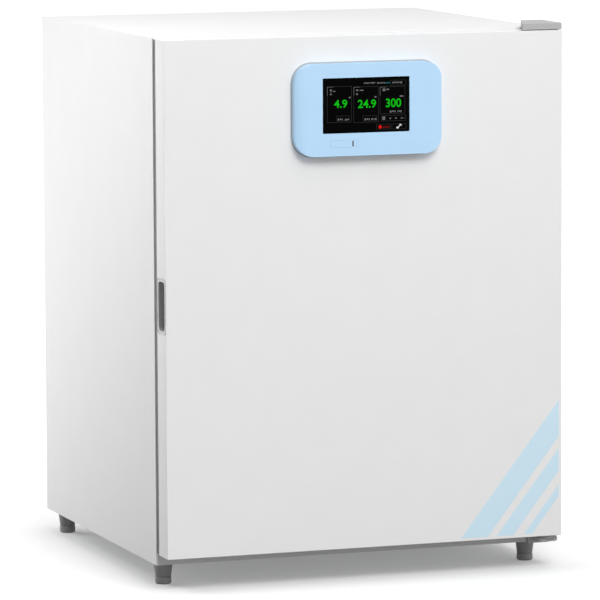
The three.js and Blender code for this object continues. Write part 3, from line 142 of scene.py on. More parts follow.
def start_material(name, values):
    """A material with the main shader, whose sockets get these values."""
    material, tree = empty_material(name)
    shader = add_node(tree, "ShaderNodeBsdfPrincipled", values)
    add_node(tree, "ShaderNodeOutputMaterial", {"Surface": shader.outputs["BSDF"]})
    return material, tree, shader


print("middle grey is", round(linear("#808080")[0], 3), "in linear light")

# %% [markdown]
# ## Stain, gloss and relief
# No real surface has one colour and one gloss. Noise at the right scale gives all three things
# that break it up: a faint stain, patches that are a little duller, and the relief of the skin.
# The noise reads Object coordinates, so a pattern stays put when its piece swings on a hinge.

# %% Stain, gloss and relief
def grain(tree, size, stretch=(1, 1, 1), detail=2.0):
    """Noise whose lumps are about size metres across, drawn out by stretch."""
    place = add_node(tree, "ShaderNodeTexCoord")
    scale = tuple(1 / (size * s) for s in stretch)
    mapping = add_node(
        tree, "ShaderNodeMapping", {"Vector": place.outputs["Object"], "Scale": scale}
    )
    inputs = {"Vector": mapping.outputs["Vector"], "Scale": 1.0, "Detail": detail}
    return add_node(tree, "ShaderNodeTexNoise", inputs).outputs["Fac"]


def between(tree, value, low, high, start=0.0, end=1.0):
    """A number that runs from low to high as the value runs from start to end."""
    inputs = {"Value": value, "From Min": start, "From Max": end, "To Min": low, "To Max": high}
    return add_node(tree, "ShaderNodeMapRange", inputs).outputs["Result"]


def stain(tree, shader, noise, light_colour, dark_colour):
    """Lets the colour run from dark to light as the noise rises."""
    ramp = add_node(tree, "ShaderNodeValToRGB", {"Fac": noise})
    for element, colour in zip(ramp.color_ramp.elements, (dark_colour, light_colour)):
        element.color = linear(colour)
    tree.links.new(ramp.outputs["Color"], shader.inputs["Base Color"])


def vary_gloss(tree, shader, noise, roughness, spread):
    """Lets the roughness run to both sides of its middle value."""
    rough = between(tree, noise, roughness - spread, roughness + spread)
    tree.links.new(rough, shader.inputs["Roughness"])


def relief(tree, shader, height, depth):
    """Bump of about depth metres."""
    inputs = {"Height": height, "Distance": depth, "Strength": 1.0}
    bump = add_node(tree, "ShaderNodeBump", inputs)
    tree.links.new(bump.outputs["Normal"], shader.inputs["Normal"])


finishes = {}
print("ready for the first finish")

# %% [markdown]
# ## Powder coats
# The casing and the door are steel sheet with a baked white powder coat, and the hinge arms have
# a grey one. The powder melts into a skin with a faint orange peel, lumps about a millimetre
# across and a few microns high. A bump from fine noise gives the peel, and a very weak stain over
# tens of millimetres keeps the large faces from looking like plain fill. The last number is how
# much the coat mirrors. It is low on the white one, so that the roof isn't washed out by a lamp.

# %% Powder coats
def powder_coat(name, light_colour, dark_colour, roughness, mirror):
    material, tree, shader = start_material(name, {"IOR": 1.5, "Specular IOR Level": mirror})
    cloud = grain(tree, 60 * mm, detail=3.0)
    patches = grain(tree, 9 * mm)
    peel = grain(tree, 1.1 * mm, detail=1.5)
    stain(tree, shader, cloud, light_colour, dark_colour)
    vary_gloss(tree, shader, patches, roughness, 0.03)
    relief(tree, shader, peel, 0.02 * mm)
    return material


coats = {
    "white_paint": ("white_satin_powder_coat", "#F1F1F1", "#EDEDED", 0.62, 0.2),
    "hinge_paint": ("grey_satin_hinge_paint", "#BABABA", "#B3B3B3", 0.6, 0.1),
    "black_paint": ("black_satin_motor_paint", "#2D2D2D", "#272727", 0.45, 0.5),
}
finishes.update({key: powder_coat(*recipe) for key, recipe in coats.items()})
print("powder coats:", list(coats))

# %% [markdown]
# ## Bare metals
# The chamber and the platform are stainless sheet, brushed in one direction, so their highlights
# run across the brushing as streaks. The drive's brackets are zinc-plated, with a soft mottled
# spangle. Hubs and the carriage are cast aluminium, with a fine sandy skin, and shafts are
# ground steel. All are full metals. The streaks are noise that is drawn out along the sheet. Each
# row ends with the size of the noise in mm, how far it is drawn out, and its depth in mm.

# %% Bare metals
def bare_metal(name, light_colour, dark_colour, roughness, size, stretch, depth):
    material, tree, shader = start_material(name, {"Metallic": 1.0})
    lines = grain(tree, size * mm, stretch, detail=3.0)
    stain(tree, shader, lines, light_colour, dark_colour)
    vary_gloss(tree, shader, lines, roughness, 0.07)
    relief(tree, shader, lines, depth * mm)
    return material


every_way = (1, 1, 1)
metals = {
    "stainless": (
        "brushed_stainless_sheet", "#DEDFDF", "#CBCDCE", 0.42, 0.5, (120, 120, 1), 0.004
    ),
    "platform_stainless": (
        "brushed_stainless_platform", "#DCDEDE", "#C8CBCC", 0.3, 0.5, (160, 1, 8), 0.004
    ),
    "zinc_steel": ("zinc_plated_steel", "#C6C8C9", "#B1B3B4", 0.36, 5, every_way, 0.01),
    "cast_aluminium": (
        "sand_cast_aluminium", "#C4C6C7", "#AFB1B3", 0.47, 0.7, every_way, 0.05
    ),
    "bright_steel": ("ground_steel", "#DADBDC", "#CDCFD1", 0.2, 0.15, (8, 8, 1), 0.002),
}
finishes.update({key: bare_metal(*recipe) for key, recipe in metals.items()})
print("metals:", list(metals))

# %% [markdown]
# ## Plastics, rubber and foam
# The display housing is injection-moulded ABS, pale blue, with a satin skin. Collars, grip and
# sockets are greyer plastics that come out of an etched mould, so their skin has a fine grain
# about a third of a millimetre wide. Rubber is duller still, and silicone lets some light in. The
# foam is rigid and poured in place, and its cut skin shows cells. Each row ends with the size and
# the depth of the grain in mm.

# %% Plastics, rubber and foam
def moulded(name, light_colour, dark_colour, roughness, size, depth, values=None):
    material, tree, shader = start_material(name, {"IOR": 1.49, **(values or {})})
    cloud = grain(tree, 35 * mm)
    skin = grain(tree, size * mm, detail=1.0)
    stain(tree, shader, cloud, light_colour, dark_colour)
    vary_gloss(tree, shader, skin, roughness, 0.05)
    relief(tree, shader, skin, depth * mm)
    return material


milky = {"Subsurface Weight": 0.3, "Subsurface Scale": 0.003}
mouldings = {
    "blue_plastic": ("pale_blue_satin_abs", "#BBDFFC", "#B7DBF9", 0.33, 0.6, 0.006),
    "dark_plastic": ("dark_grained_plastic", "#515151", "#494949", 0.5, 0.35, 0.02),
    "grey_plastic": ("grey_grained_plastic", "#B4B5B5", "#ABACAC", 0.48, 0.35, 0.02),
    # Painted shade for the cabinet's edge below the door.
    "under_door_shade_plastic": ("grey_painted_shade_plastic", "#D2D2D2", "#CACACA", 0.5, 0.35, 0.02),
    "grip_plastic": ("grip_grained_plastic", "#ACACAC", "#A1A1A1", 0.5, 0.35, 0.02),
    "black_rubber": ("black_rubber", "#3A3B3C", "#303132", 0.7, 0.5, 0.02),
    "foot_plastic": ("grey_foot_plastic", "#8F8F8F", "#868686", 0.5, 0.35, 0.02),
    "foot_rubber": ("grey_foot_rubber", "#A2A2A2", "#989898", 0.68, 0.5, 0.02),
    "seal_rubber": ("grey_seal_rubber", "#4C4C4C", "#424242", 0.62, 0.8, 0.015),
    "clear_silicone": ("milky_silicone", "#E4E7E7", "#DADEDE", 0.4, 0.8, 0.01, milky),
    "foam": ("rigid_poured_foam", "#EFE6CC", "#E2D7B8", 0.85, 1.2, 0.25),
}
finishes.update({key: moulded(*recipe) for key, recipe in mouldings.items()})
print("mouldings:", list(mouldings))

# %% [markdown]
# ## Glass
# The inner door is a pane of tempered glass with a slight green-blue tint that is strongest at
# its edges. A plain transmissive shader on the closed pane gives both, because light that enters
# at an edge passes through more glass. The touch screen is glass over a black panel. A coating
# swallows most of what it would mirror, so its specular level is a small part of plain glass's.

# %% Glass
def pane_glass():
    material, tree, shader = start_material(
        "tempered_pane_glass",
        {"Base Color": linear("#E9F5F2"), "Transmission Weight": 1.0, "IOR": 1.52},
    )
    smear = grain(tree, 90 * mm, detail=3.0)
    vary_gloss(tree, shader, smear, 0.0175, 0.0175)
    return material


def screen_glass():
    material, tree, shader = start_material(
        "black_screen_glass", {"IOR": 1.5, "Specular IOR Level": 0.02}
    )
    smear = grain(tree, 30 * mm, detail=3.0)
    stain(tree, shader, smear, "#030303", "#010101")
    vary_gloss(tree, shader, smear, 0.12, 0.04)
    return material


finishes["tinted_glass"] = pane_glass()
finishes["screen_glass"] = screen_glass()
print("glass:", finishes["tinted_glass"].name, "and", finishes["screen_glass"].name)

# %% [markdown]
# ## Lacquered circuit board
# A board is glass fibre with copper tracks under green lacquer. The tracks show as slightly
# raised, lighter lines. The squared rings round the points of a cell texture stand for them,
# which is enough for boards that sit behind covers.

# %% Lacquered circuit board
def lacquered_board():
    material, tree, shader = start_material(
        "green_lacquered_board", {"IOR": 1.5, "Roughness": 0.3}
    )
    place = add_node(tree, "ShaderNodeTexCoord")
    cells = add_node(
        tree,
        "ShaderNodeTexVoronoi",
        {"Vector": place.outputs["Object"], "Scale": 90.0},
        distance="MANHATTAN",
        feature="F1",
    )
    rings = calculate(tree, "MULTIPLY", cells.outputs["Distance"], 7.0)
    track = calculate(tree, "GREATER_THAN", calculate(tree, "FRACT", rings), 0.78)
    stain(tree, shader, track, "#2F7F52", "#1C5B38")
    relief(tree, shader, track, 0.03 * mm)
    return material


finishes["circuit_board"] = lacquered_board()
print("finishes:", sorted(finishes))

# %% [markdown]
# ## From solids to finished pieces
# The solids arrive as loose triangles with knife edges. Real sheet metal and mouldings have
# edges that are broken by a few tenths of a millimetre, and that thin highlight is what makes
# them read as solid. A bevel modifier does this, and is worked into the mesh at once.

# %% Helpers for pieces
slots = {s["node"]: s["material_slot"] for s in frame["record"]["subparts"]}
sharp_from = 35  # degrees between two faces, above which their edge is sharp


def in_scene(name, mesh, material):
    piece = new_object(name, mesh)
    mesh.materials.clear()
    mesh.materials.append(material)
    return piece


def mesh_from(shape, name, sharp_angle=None):
    """The mesh of a shape. With an angle given, it is smooth but for edges above it."""
    mesh = bpy.data.meshes.new(name)
    shape.to_mesh(mesh)
    shape.free()
    if sharp_angle:
        mesh.shade_smooth()
        mesh.set_sharp_from_angle(angle=math.radians(sharp_angle))
    return mesh


def made_plain(piece):
    """The piece with its modifiers worked into its mesh."""
    graph = bpy.context.evaluated_depsgraph_get()
    mesh = bpy.data.meshes.new_from_object(piece.evaluated_get(graph))
    piece.modifiers.clear()
    piece.data = mesh
    return piece


print("solids to finish:", len(slots))

# %% [markdown]
# ## Tighter edges and the splayed arm
# In the picture the casing's and the door's long edges look tighter than a plain bend. Their
# solids have a wider one, so points near two walls are drawn towards both. The upper hinge arm is
# a straight bar in the solids, and in the picture its left side slants out towards the door, so
# that side's points are moved out by how near the door they are. Moving points is simpler than
# making either shape anew.

# %% Tighter edges and the splayed arm
def tighten(shape, low, high, radius, share):
    """Draws the round edges of a box-shaped shell in, to this share of their radius."""
    reach = radius + 0.1 * mm
    for vertex in shape.verts:
        sides = []
        for k in range(3):
            wall = low[k] if vertex.co[k] < (low[k] + high[k]) / 2 else high[k]
            sides.append((abs(vertex.co[k] - wall) < reach, wall))
        if sum(near for near, wall in sides) < 2:
            continue
        for k, (near, wall) in enumerate(sides):
            if near:
                vertex.co[k] = wall + (vertex.co[k] - wall) * share


def splay(shape, low, high, widening=34 * mm, side=2.5 * mm):
    """Draws an arm's left side out to a slant, so that it is wide at the door."""
    tighten(shape, low, high, 6 * mm, 0.35)
    for vertex in shape.verts:
        if vertex.co.x < low.x + side:
            share = (high.y - vertex.co.y) / (high.y - low.y)
            vertex.co.x -= widening * share


print("two ways to reshape a solid")

# %% [markdown]
# ## Finish one solid
# Each solid is copied and its triangles merged, flat faces are joined, and a narrow bevel goes on
# every sharp edge. Normals are weighted by the size of each face, so a large flat face next to a
# rounding stays flat in shading. The copy then rides on the solid's body and stands for it.

# %% Finish one solid
def break_edges(piece, width):
    bevel = piece.modifiers.new("broken_edges", "BEVEL")
    bevel.width = width
    bevel.segments = 2
    bevel.limit_method = "ANGLE"
    bevel.angle_limit = math.radians(sharp_from)
    bevel.use_clamp_overlap = True


def finish(node, edge=0.0, finish_name=None, reshape=None):
    """A finished copy of a solid. Its edges are broken by this many metres."""
    source = frame["nodes"][node]
    shape = bmesh.new()
    shape.from_mesh(source.data)
    if reshape:
        reshape(shape, *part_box(node))
    bmesh.ops.remove_doubles(shape, verts=shape.verts, dist=0.01 * mm)
    bmesh.ops.dissolve_limit(
        shape, angle_limit=math.radians(0.5), verts=shape.verts, edges=shape.edges
    )
    name = node + "_finished"
    mesh = mesh_from(shape, name, sharp_from)
    piece = in_scene(name, mesh, finishes[finish_name or slots[node]])
    if edge:
        break_edges(piece, edge)
    level = piece.modifiers.new("flat_faces_stay_flat", "WEIGHTED_NORMAL")
    level.mode = "FACE_AREA"
    level.weight = 100
    level.keep_sharp = True
    made_plain(piece)
    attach(piece, source["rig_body"])
    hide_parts(node)
    print(node, len(piece.data.polygons), "faces")


def finish_all(edges, finish_name=None):
    """Finishes solids, each with its broken edge in millimetres."""
    for node, edge in edges.items():
        finish(node, edge * mm, finish_name)


print("finish is ready for", len(slots), "solids")

# %% [markdown]
# ## Cabinet and feet
# The casing is one folded sheet, open below, where the floor tray closes it. The chamber, its
# foam and the frame between them only show when the doors are open. Their edges are those of
# laser-cut sheet, broken by about a third of a millimetre.

# %% Cabinet and feet
finish("outer_casing", 0.3 * mm, reshape=partial(tighten, radius=5 * mm, share=0.3))
finish_all({"base_pan": 0.3, "front_frame": 0.3, "inner_chamber": 0.4})
finish_all({"insulation": 1.0, "rear_panel": 0.3})
for number in range(1, 5):
    finish_all({f"foot_collar_{number}": 0.5}, "foot_plastic")
    finish_all({f"foot_pad_{number}": 0.3}, "foot_rubber")

# %% [markdown]
# ## Doors, hinges and display
# The outer door is a shell with folded edges, hung between a grey arm on the roof and a grey plate
# below. Its seal, grip and hinges are separate mouldings and stampings. The glass door has ground
# and polished edges.

# %% Doors, hinges and display
finish("door_shell", reshape=partial(tighten, radius=4.5 * mm, share=0.3))
finish("upper_hinge_arm", 0.3 * mm, "hinge_paint", reshape=splay)
finish("lower_hinge_arm", 0.5 * mm, "hinge_paint")
finish_all(
    {
        "door_liner": 0.5, "door_insulation": 1.0, "handle_cup": 0.5, "upper_hinge_pin": 0.3,
        "lower_hinge_pin": 0.3, "display_housing": 0.5, "touch_screen": 0.3,
        "display_board": 0.2, "port_flap": 0.1, "inner_seal": 0.8, "inner_glass": 0.6,
        "glass_hinge_strip": 0.4, "inner_hinge_rod": 0.3, "latch_knob": 0.5,
    }
)

# %% [markdown]
# ## Shaking drive
# A motor under the chamber turns the main crank by a belt. The crank and three idler cranks
# carry the frame and the platform round a small circle. Castings have soft edges, turned parts
# have small chamfers, and the pressed platform has a rolled lip.

# %% Shaking drive
finish_all(
    {
        "drive_deck": 0.5, "drive_bearing_housing": 0.8, "drive_shaft": 0.3,
        "shaft_slinger": 0.5, "counterweight": 0.8, "drive_pulley": 0.3, "drive_belt": 0.3,
        "motor_pulley": 0.3, "motor_bracket": 0.5, "shaker_motor": 0.4, "carriage": 0.8,
    }
)
finish_all({"platform": 0.3}, "platform_stainless")
for number in range(1, 4):
    finish_all({f"idler_bearing_{number}": 0.8, f"idler_crank_{number}": 0.4})

# %% [markdown]
# ## Air duct, probes and electrics
# A fan behind a pressed cover moves the heated air, and a probe and a gas sensor stand in it.
# The power supply, the boards and the sockets sit in the bays below and behind the chamber.

# %% Air duct, probes and electrics
finish_all(
    {
        "fan_impeller": 0.2, "fan_motor": 0.5, "duct_cover": 0.4, "temperature_probe": 0.2,
        "co2_sensor": 0.3, "power_supply": 0.6, "control_board": 0.2, "power_inlet": 0.4,
        "power_switch": 0.5, "co2_inlet": 0.3,
    }
)

# %% [markdown]
# ## Rings of points
# A seal, a gasket and a washer are all one closed outline carried round a path. In mesh code that
# is a row of closed loops of points, each joined to the next one, and the last to the first.

# %% Rings of points
def ring_mesh(name, loops, sharp_angle):
    """The closed skin over a row of closed loops of points."""
    shape = bmesh.new()
    rings = [[shape.verts.new(point) for point in loop] for loop in loops]
    for ring, after in zip(rings, rings[1:] + rings[:1]):
        for k in range(len(ring)):
            n = (k + 1) % len(ring)
            shape.faces.new((ring[k], ring[n], after[n], after[k]))
    bmesh.ops.recalc_face_normals(shape, faces=shape.faces)
    return mesh_from(shape, name, sharp_angle)


def fit(name, mesh, body, slot, material=None):
    """A new piece that is fastened to a body. Its finish is the slot's, if none is named."""
    piece = in_scene(name, mesh, material or finishes[slot])
    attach(piece, body)
    print(name, len(mesh.polygons), "faces")
    return piece


print("rings and fittings ready")

# %% [markdown]
# ## Magnetic seal
# The seal in the gap behind the door is an extrusion: a foot that clips to the door, a soft
# bellows, and a flat pocket that holds a magnet strip against the cabinet. Four lengths are
# welded at the corners. One outline of the extrusion is carried round the door's edge, and each
# of its points keeps its own distance from that edge, so the bellows stay parallel.

# %% Magnetic seal
seal_low, seal_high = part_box("door_seal")
seal_profile = [
    (0, 0), (22, 0), (22, 1.6), (17, 2.4), (19.5, 4.4), (20.6, 5.9), (19.5, 7.4), (15.6, 8.5),
    (15.6, 9.2), (19.2, 10), (20, 11), (20, 14.2), (18.9, 15.4), (3.1, 15.4), (2, 14.2), (2, 11),
    (2.8, 10), (6.4, 9.2), (6.4, 8.5), (2.5, 7.4), (1.4, 5.9), (2.5, 4.4), (5, 2.4), (0, 1.6),
]


def round_the_edge(low, high, inset, radius, steps=8):
    """Points of a rectangle with round corners in X and Z, drawn in by inset."""
    r = max(radius - inset, 0.6 * mm)
    x0, x1, z0, z1 = low.x + inset, high.x - inset, low.z + inset, high.z - inset
    middles = [(x1 - r, z1 - r), (x0 + r, z1 - r), (x0 + r, z0 + r), (x1 - r, z0 + r)]
    points = []
    for quarter, (cx, cz) in enumerate(middles):
        for step in range(steps + 1):
            a = math.radians(90 * quarter + 90 * step / steps)
            points.append((cx + r * math.cos(a), cz + r * math.sin(a)))
    return points


def swept_ring(name, profile, low, high, radius, face):
    """An extrusion carried round an edge. Its profile gives (inward, away from the face) in mm."""
    loops = [
        [(x, face + away * mm, z) for x, z in round_the_edge(low, high, inward * mm, radius)]
        for inward, away in profile
    ]
    return ring_mesh(name, loops, 40)


seal_mesh = swept_ring("magnetic_seal", seal_profile, seal_low, seal_high, 14 * mm, seal_low.y)
seal_body = frame["nodes"]["door_seal"]["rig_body"]
seal = fit("magnetic_seal", seal_mesh, seal_body, "seal_rubber")
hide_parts("door_seal")

# %% [markdown]
# ## Painted shade round the display
# Round the display housing the door is darker, most below and on its left. Part of that is
# rendered shadow. The rest is painted shade: a flat grey rim under the housing, which stands
# out two millimetres all round.

# %% Painted shade round the display
housing_low, housing_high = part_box("display_housing")
# The grey rim is painted shade round the housing.
shade_rim_profile = [(-2.1, 0), (-2.1, -0.5), (-1.8, -0.8), (0.3, -0.8), (0.3, 0)]
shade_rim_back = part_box("door_shell")[0].y - 0.1 * mm
shade_rim_mesh = swept_ring(
    "display_gasket", shade_rim_profile, housing_low, housing_high, 33 * mm, shade_rim_back
)
fit("display_gasket", shade_rim_mesh, "outer_door", "grey_plastic")

# %% [markdown]
# ## Lip over the seal
# The picture shows the dark gap behind the door at its side, but none along its top. A folded
# lip on the door's top edge covers the gap there and keeps dust off the seal. It is a thin strip
# from the door's back to a millimetre before the cabinet, and ends over the hinge pin, because
# past it the lip would swing into the cabinet. Strips like it are all made as closed blocks.

# %% Lip over the seal
def add_blocks(name, corners, body, slot, material=None):
    """A piece of closed blocks, each between two corners given in millimetres."""
    shape = bmesh.new()
    for low, high in corners:
        for vertex in bmesh.ops.create_cube(shape, size=1)["verts"]:
            vertex.co = [(high[k] if vertex.co[k] > 0 else low[k]) * mm for k in range(3)]
    fit(name, mesh_from(shape, name), body, slot, material)


lip = ((-349, -306.8, 911.4), (329, -292, 912.8))
add_blocks("door_top_lip", [lip], "outer_door", "white_paint")

# %% [markdown]
# ## Painted shade under the display
# The corner under the housing is the darkest spot of the door. A thin black plate with a row of
# ribs under the housing is painted shade: it swallows light there, so the shade is deeper.

# %% Painted shade under the display
under = housing_low.z / mm
# A black plate and ribs under the housing, as painted shade.
dark_underplate = ((-92, -367.5, under - 0.35), (92, -357.6, under - 0.05))
dark_underribs = [
    ((x - 0.6, -366.5, under - 0.8), (x + 0.6, -358.6, under - 0.3)) for x in range(-88, 89, 4)
]
add_blocks("display_air_inlet", [dark_underplate] + dark_underribs, "outer_door", "black_rubber")

# %% [markdown]
# ## Washer of the lower hinge
# The door stands on its lower pin. A grey plastic washer between the hinge plate and the door
# takes the weight, and closes the gap that would show daylight there.

# %% Washer of the lower hinge
def circle(x, y, radius, sides):
    """Points round a circle, in the unit that its radius is given in."""
    turn = 2 * math.pi / sides
    return [
        (x + radius * math.cos(k * turn), y + radius * math.sin(k * turn)) for k in range(sides)
    ]


pin_low, pin_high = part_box("lower_hinge_pin")
pin_x, pin_y = (pin_low.x + pin_high.x) / 2 / mm, (pin_low.y + pin_high.y) / 2 / mm
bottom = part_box("lower_hinge_arm")[1].z / mm + 0.1
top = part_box("door_shell")[0].z / mm - 0.2
hole, rim = 9.3, 16.5
washer_loops = [
    [(x * mm, y * mm, z * mm) for x, y in circle(pin_x, pin_y, radius, 40)]
    for radius, z in ((hole, bottom), (rim, bottom), (rim, top), (hole, top))
]
washer_mesh = ring_mesh("hinge_washer", washer_loops, sharp_from)
fit("hinge_washer", washer_mesh, "cabinet", "dark_plastic", finishes["foot_plastic"])
print("washer round", round(pin_x, 1), round(pin_y, 1), "and", round(top - bottom, 2), "mm high")

# %% [markdown]
# ## Painted shade below the door
# Below the door, the cabinet's front edge lies in the door's shade and shows as a grey line,
# darker than its paint. A thin pale grey plastic strip up to the hinge plate paints that shade.

# %% Painted shade below the door
casing_x, casing_y, casing_z = [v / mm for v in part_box("outer_casing")[0]]
# A grey strip on the cabinet's edge below the door, as painted shade.
under_door_low = (casing_x + 3, casing_y - 1.3, casing_z + 0.5)
under_door_high = (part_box("lower_hinge_arm")[0].x / mm - 1, casing_y - 0.1, casing_z + 18.5)
under_door_finish = finishes["under_door_shade_plastic"]
add_blocks("toe_strip", [(under_door_low, under_door_high)], "cabinet", "grey_plastic", under_door_finish)

# %% [markdown]
# ## Painted shade in the door gap
# Seen from the side, the gap behind the door is dark over its whole width, from the door's shade.
# A thin dark rubber sheet along the door's free edge and its bottom paints that shade: it stands
# behind the door's edge and ends a millimetre before the cabinet. The hinge side has none, since it
# would rub there.

# %% Painted shade in the door gap
# Dark sheets behind the door's edge, as painted shade of the gap.
side_gap_shade = ((-348.4, -306.9, 59.2), (-347, -292.4, 911))
bottom_gap_shade = ((-346.9, -306.9, 59.2), (329, -292.4, 60.6))
add_blocks("seal_skirt", [side_gap_shade, bottom_gap_shade], "outer_door", "seal_rubber")

# %% [markdown]
# ## Slit and gasket of the small cover
# The small cover below the screen has a dark slit near its right end, and only a faint outline,
# so the gap round it is filled with a soft gasket of the housing's colour. The slit is lined with
# a dark rubber insert that is a little longer than the slit itself.

# %% Slit and gasket of the small cover
flap_low, flap_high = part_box("port_flap")
x0, x1 = flap_low.x / mm, flap_high.x / mm
z0, z1 = flap_low.z / mm, flap_high.z / mm
face = flap_low.y / mm
front, back = face + 0.7, face + 1.4
gap, lap = 0.28, 0.02
flap_gasket = [
    ((x0 - gap, front, z0 - gap), (x0 - lap, back, z1 + gap)),
    ((x1 + lap, front, z0 - gap), (x1 + gap, back, z1 + gap)),
    ((x0 - lap, front, z0 - gap), (x1 + lap, back, z0 - lap)),
    ((x0 - lap, front, z1 + lap), (x1 + lap, back, z1 + gap)),
]
add_blocks("flap_gasket", flap_gasket, "outer_door", "blue_plastic")
slit_x = x0 + 0.82 * (x1 - x0)
slit_lining = ((slit_x - 1.2, face - 0.06, z0 + 1.1), (slit_x + 1.2, front, z1 - 1.1))
add_blocks("flap_slit_lining", [slit_lining], "flap", "black_rubber")

# %% [markdown]
# ## Touch display
# The panel glows behind its glass: three tiles with thin frames, a green reading in each, and
# small captions. Readings are plain numbers, and captions are plain strokes. Each colour is one
# thin plate a few hundredths of a millimetre thick that lies on the glass, made with a glowing
# material, because a flat picture would need an image file.

# %% Glowing colours
def glowing(name, colour, strength):
    values = {
        "Base Color": linear("#050505"),
        "Roughness": 0.2,
        "Specular IOR Level": 0.04,
        "Emission Color": linear(colour),
        "Emission Strength": strength,
    }
    return start_material(name, values)[0]


lights = {
    "green": ("#08CC10", 0.8),
    "white": ("#F2F4F4", 0.8),
    "grey": ("#9A9C9C", 0.45),
    "frame_grey": ("#6E7070", 0.3),
    "red": ("#F01414", 0.8),
    "dark_red": ("#8E1010", 0.6),
    "teal": ("#2E8C90", 0.5),
}
glow = {key: glowing("display_" + key, *light) for key, light in lights.items()}
print("display colours:", list(glow))

# %% Flat shapes on the glass
glass_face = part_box("touch_screen")[0].y
plate_depth = 0.06 * mm


def plate(shape, outline, front, depth):
    """A thin plate with this outline, given as (x, z) in millimetres."""
    area = sum(a[0] * b[1] - b[0] * a[1] for a, b in zip(outline, outline[1:] + outline[:1]))
    if area < 0:
        outline = outline[::-1]
    near = [shape.verts.new((x * mm, front, z * mm)) for x, z in outline]
    far = [shape.verts.new((x * mm, front + depth, z * mm)) for x, z in outline]
    shape.faces.new(near)
    shape.faces.new(far[::-1])
    for k in range(len(near)):
        n = (k + 1) % len(near)
        shape.faces.new((near[k], far[k], far[n], near[n]))


def bar(x0, z0, x1, z1):
    return [(x0, z0), (x1, z0), (x1, z1), (x0, z1)]


def on_the_glass(name, material, outlines):
    shape = bmesh.new()
    for outline in outlines:
        plate(shape, outline, glass_face - 0.04 * mm, plate_depth)
    fit(name, mesh_from(shape, name), "outer_door", "screen_glass", material)


print("glass face at", round(glass_face, 4))

# %% [markdown]
# ## Tile frames and captions
# Each tile has a hairline frame that is brighter at its upper left. A caption is a row of short
# strokes of uneven length, which reads as small print at this size and says nothing. The alarm
# light is a disc, and the tool symbol is one outline. All places are (left, bottom, right, top) in
# millimetres on the door.

# %% Tile frames
def frame_bars(x0, z0, x1, z1, line):
    """The four sides of a frame, with this width of line."""
    return [
        bar(x0, z1 - line, x1, z1),
        bar(x0, z0, x0 + line, z1 - line),
        bar(x1 - line, z0, x1, z1 - line),
        bar(x0 + line, z0, x1 - line, z0 + line),
    ]


tiles = [(-74.4, 771.6, -31.4, 830.8), (-28, 770.2, 15.6, 829.4), (18.2, 783.4, 62.4, 828.2)]
buttons = [
    (37.4, 829.9, 64.6, 838.6), (20.5, 771.2, 63.9, 780.6), (12.3, 757.8, 36.9, 766.6),
    (39.2, 757.4, 64.4, 766.4),
]
set_values = [(-58.4, 773.6, -35.2, 782.2), (-11.6, 772.4, 13.2, 781.2)]
frames = [side for box in tiles + buttons for side in frame_bars(*box, 0.35)]
frames += [side for box in set_values for side in frame_bars(*box, 0.3)]
on_the_glass("display_tile_frames", glow["frame_grey"], frames)

# %% Captions
def caption(x0, z0, x1, z1, lengths):
    """Strokes between x0 and x1, as long as the numbers say in turn."""
    strokes = []
    unit = (x1 - x0) / (sum(lengths) + 0.7 * (len(lengths) - 1))
    x = x0
    for number, length in enumerate(lengths):
        drop = 0.25 * (z1 - z0) * (number % 2)
        strokes.append(bar(x, z0 + drop, x + unit * length, z1 - 0.1 * (z1 - z0)))
        x += unit * (length + 0.7)
    return strokes


grey_marks = []
for x0, z0, x1, z1 in tiles:
    grey_marks.append(bar(x0 + 0.4, z1 - 0.9, x0 + 11, z1 - 0.4))
    grey_marks.append(bar(x0 + 0.4, z1 - 14, x0 + 0.9, z1 - 0.9))
for place in (
    (-9.6, 833.9, 10.1, 836.4, (2, 1, 3, 2, 1, 2, 4, 2)),
    (13.4, 833.5, 27.3, 836.0, (3, 1, 2, 3, 2)),
    (40.5, 833.2, 57.5, 836.2, (2, 3, 1, 2, 3)),
    (-55.8, 774.8, -47.1, 778.2, (2, 2, 1)),
    (-43.1, 774.4, -36.2, 777.4, (2, 2)),
    (-8.7, 773.6, 0.1, 777.2, (2, 2, 1)),
    (2.9, 773.8, 12.2, 776.8, (2, 1, 2)),
    (35.6, 785.2, 45.8, 788.8, (2, 2, 1)),
    (49.4, 785.2, 56.3, 788.6, (1, 2, 2)),
):
    grey_marks += caption(*place)
icons_units_and_dots = [
    (-69.8, 824.6, -65.4, 826.2), (-68.4, 821.6, -66.8, 824.2), (-64.2, 822.2, -59.8, 823.6),
    (-69.4, 817.2, -66.1, 819.2), (-23.6, 822.4, -19.6, 824.8), (-17.1, 822.6, -10.4, 824.2),
    (-23.4, 816, -20.4, 818.6), (23.2, 821, 27.8, 825.2), (29.6, 822.6, 34.5, 824.6),
    (22.6, 773.4, 27.4, 778.8), (-36.2, 811, -33.2, 813.2), (8.8, 810.6, 12.2, 813),
    (53.2, 810.8, 59.4, 813), (35.0, 774.6, 37.8, 776.6), (44.9, 774.6, 47.7, 776.6),
    (55.2, 774.6, 58.0, 776.6), (60.2, 775, 61.4, 776.2),
]
grey_marks += [bar(*box) for box in icons_units_and_dots]
teal_caption = caption(28.8, 833.2, 36.3, 835.9, (2, 2, 1))
red_caption = caption(23.4, 759.6, 35, 763.4, (2, 3, 2, 2))
on_the_glass("display_captions", glow["grey"], grey_marks)
on_the_glass("display_teal_caption", glow["teal"], teal_caption)
on_the_glass("display_red_caption", glow["dark_red"], red_caption)

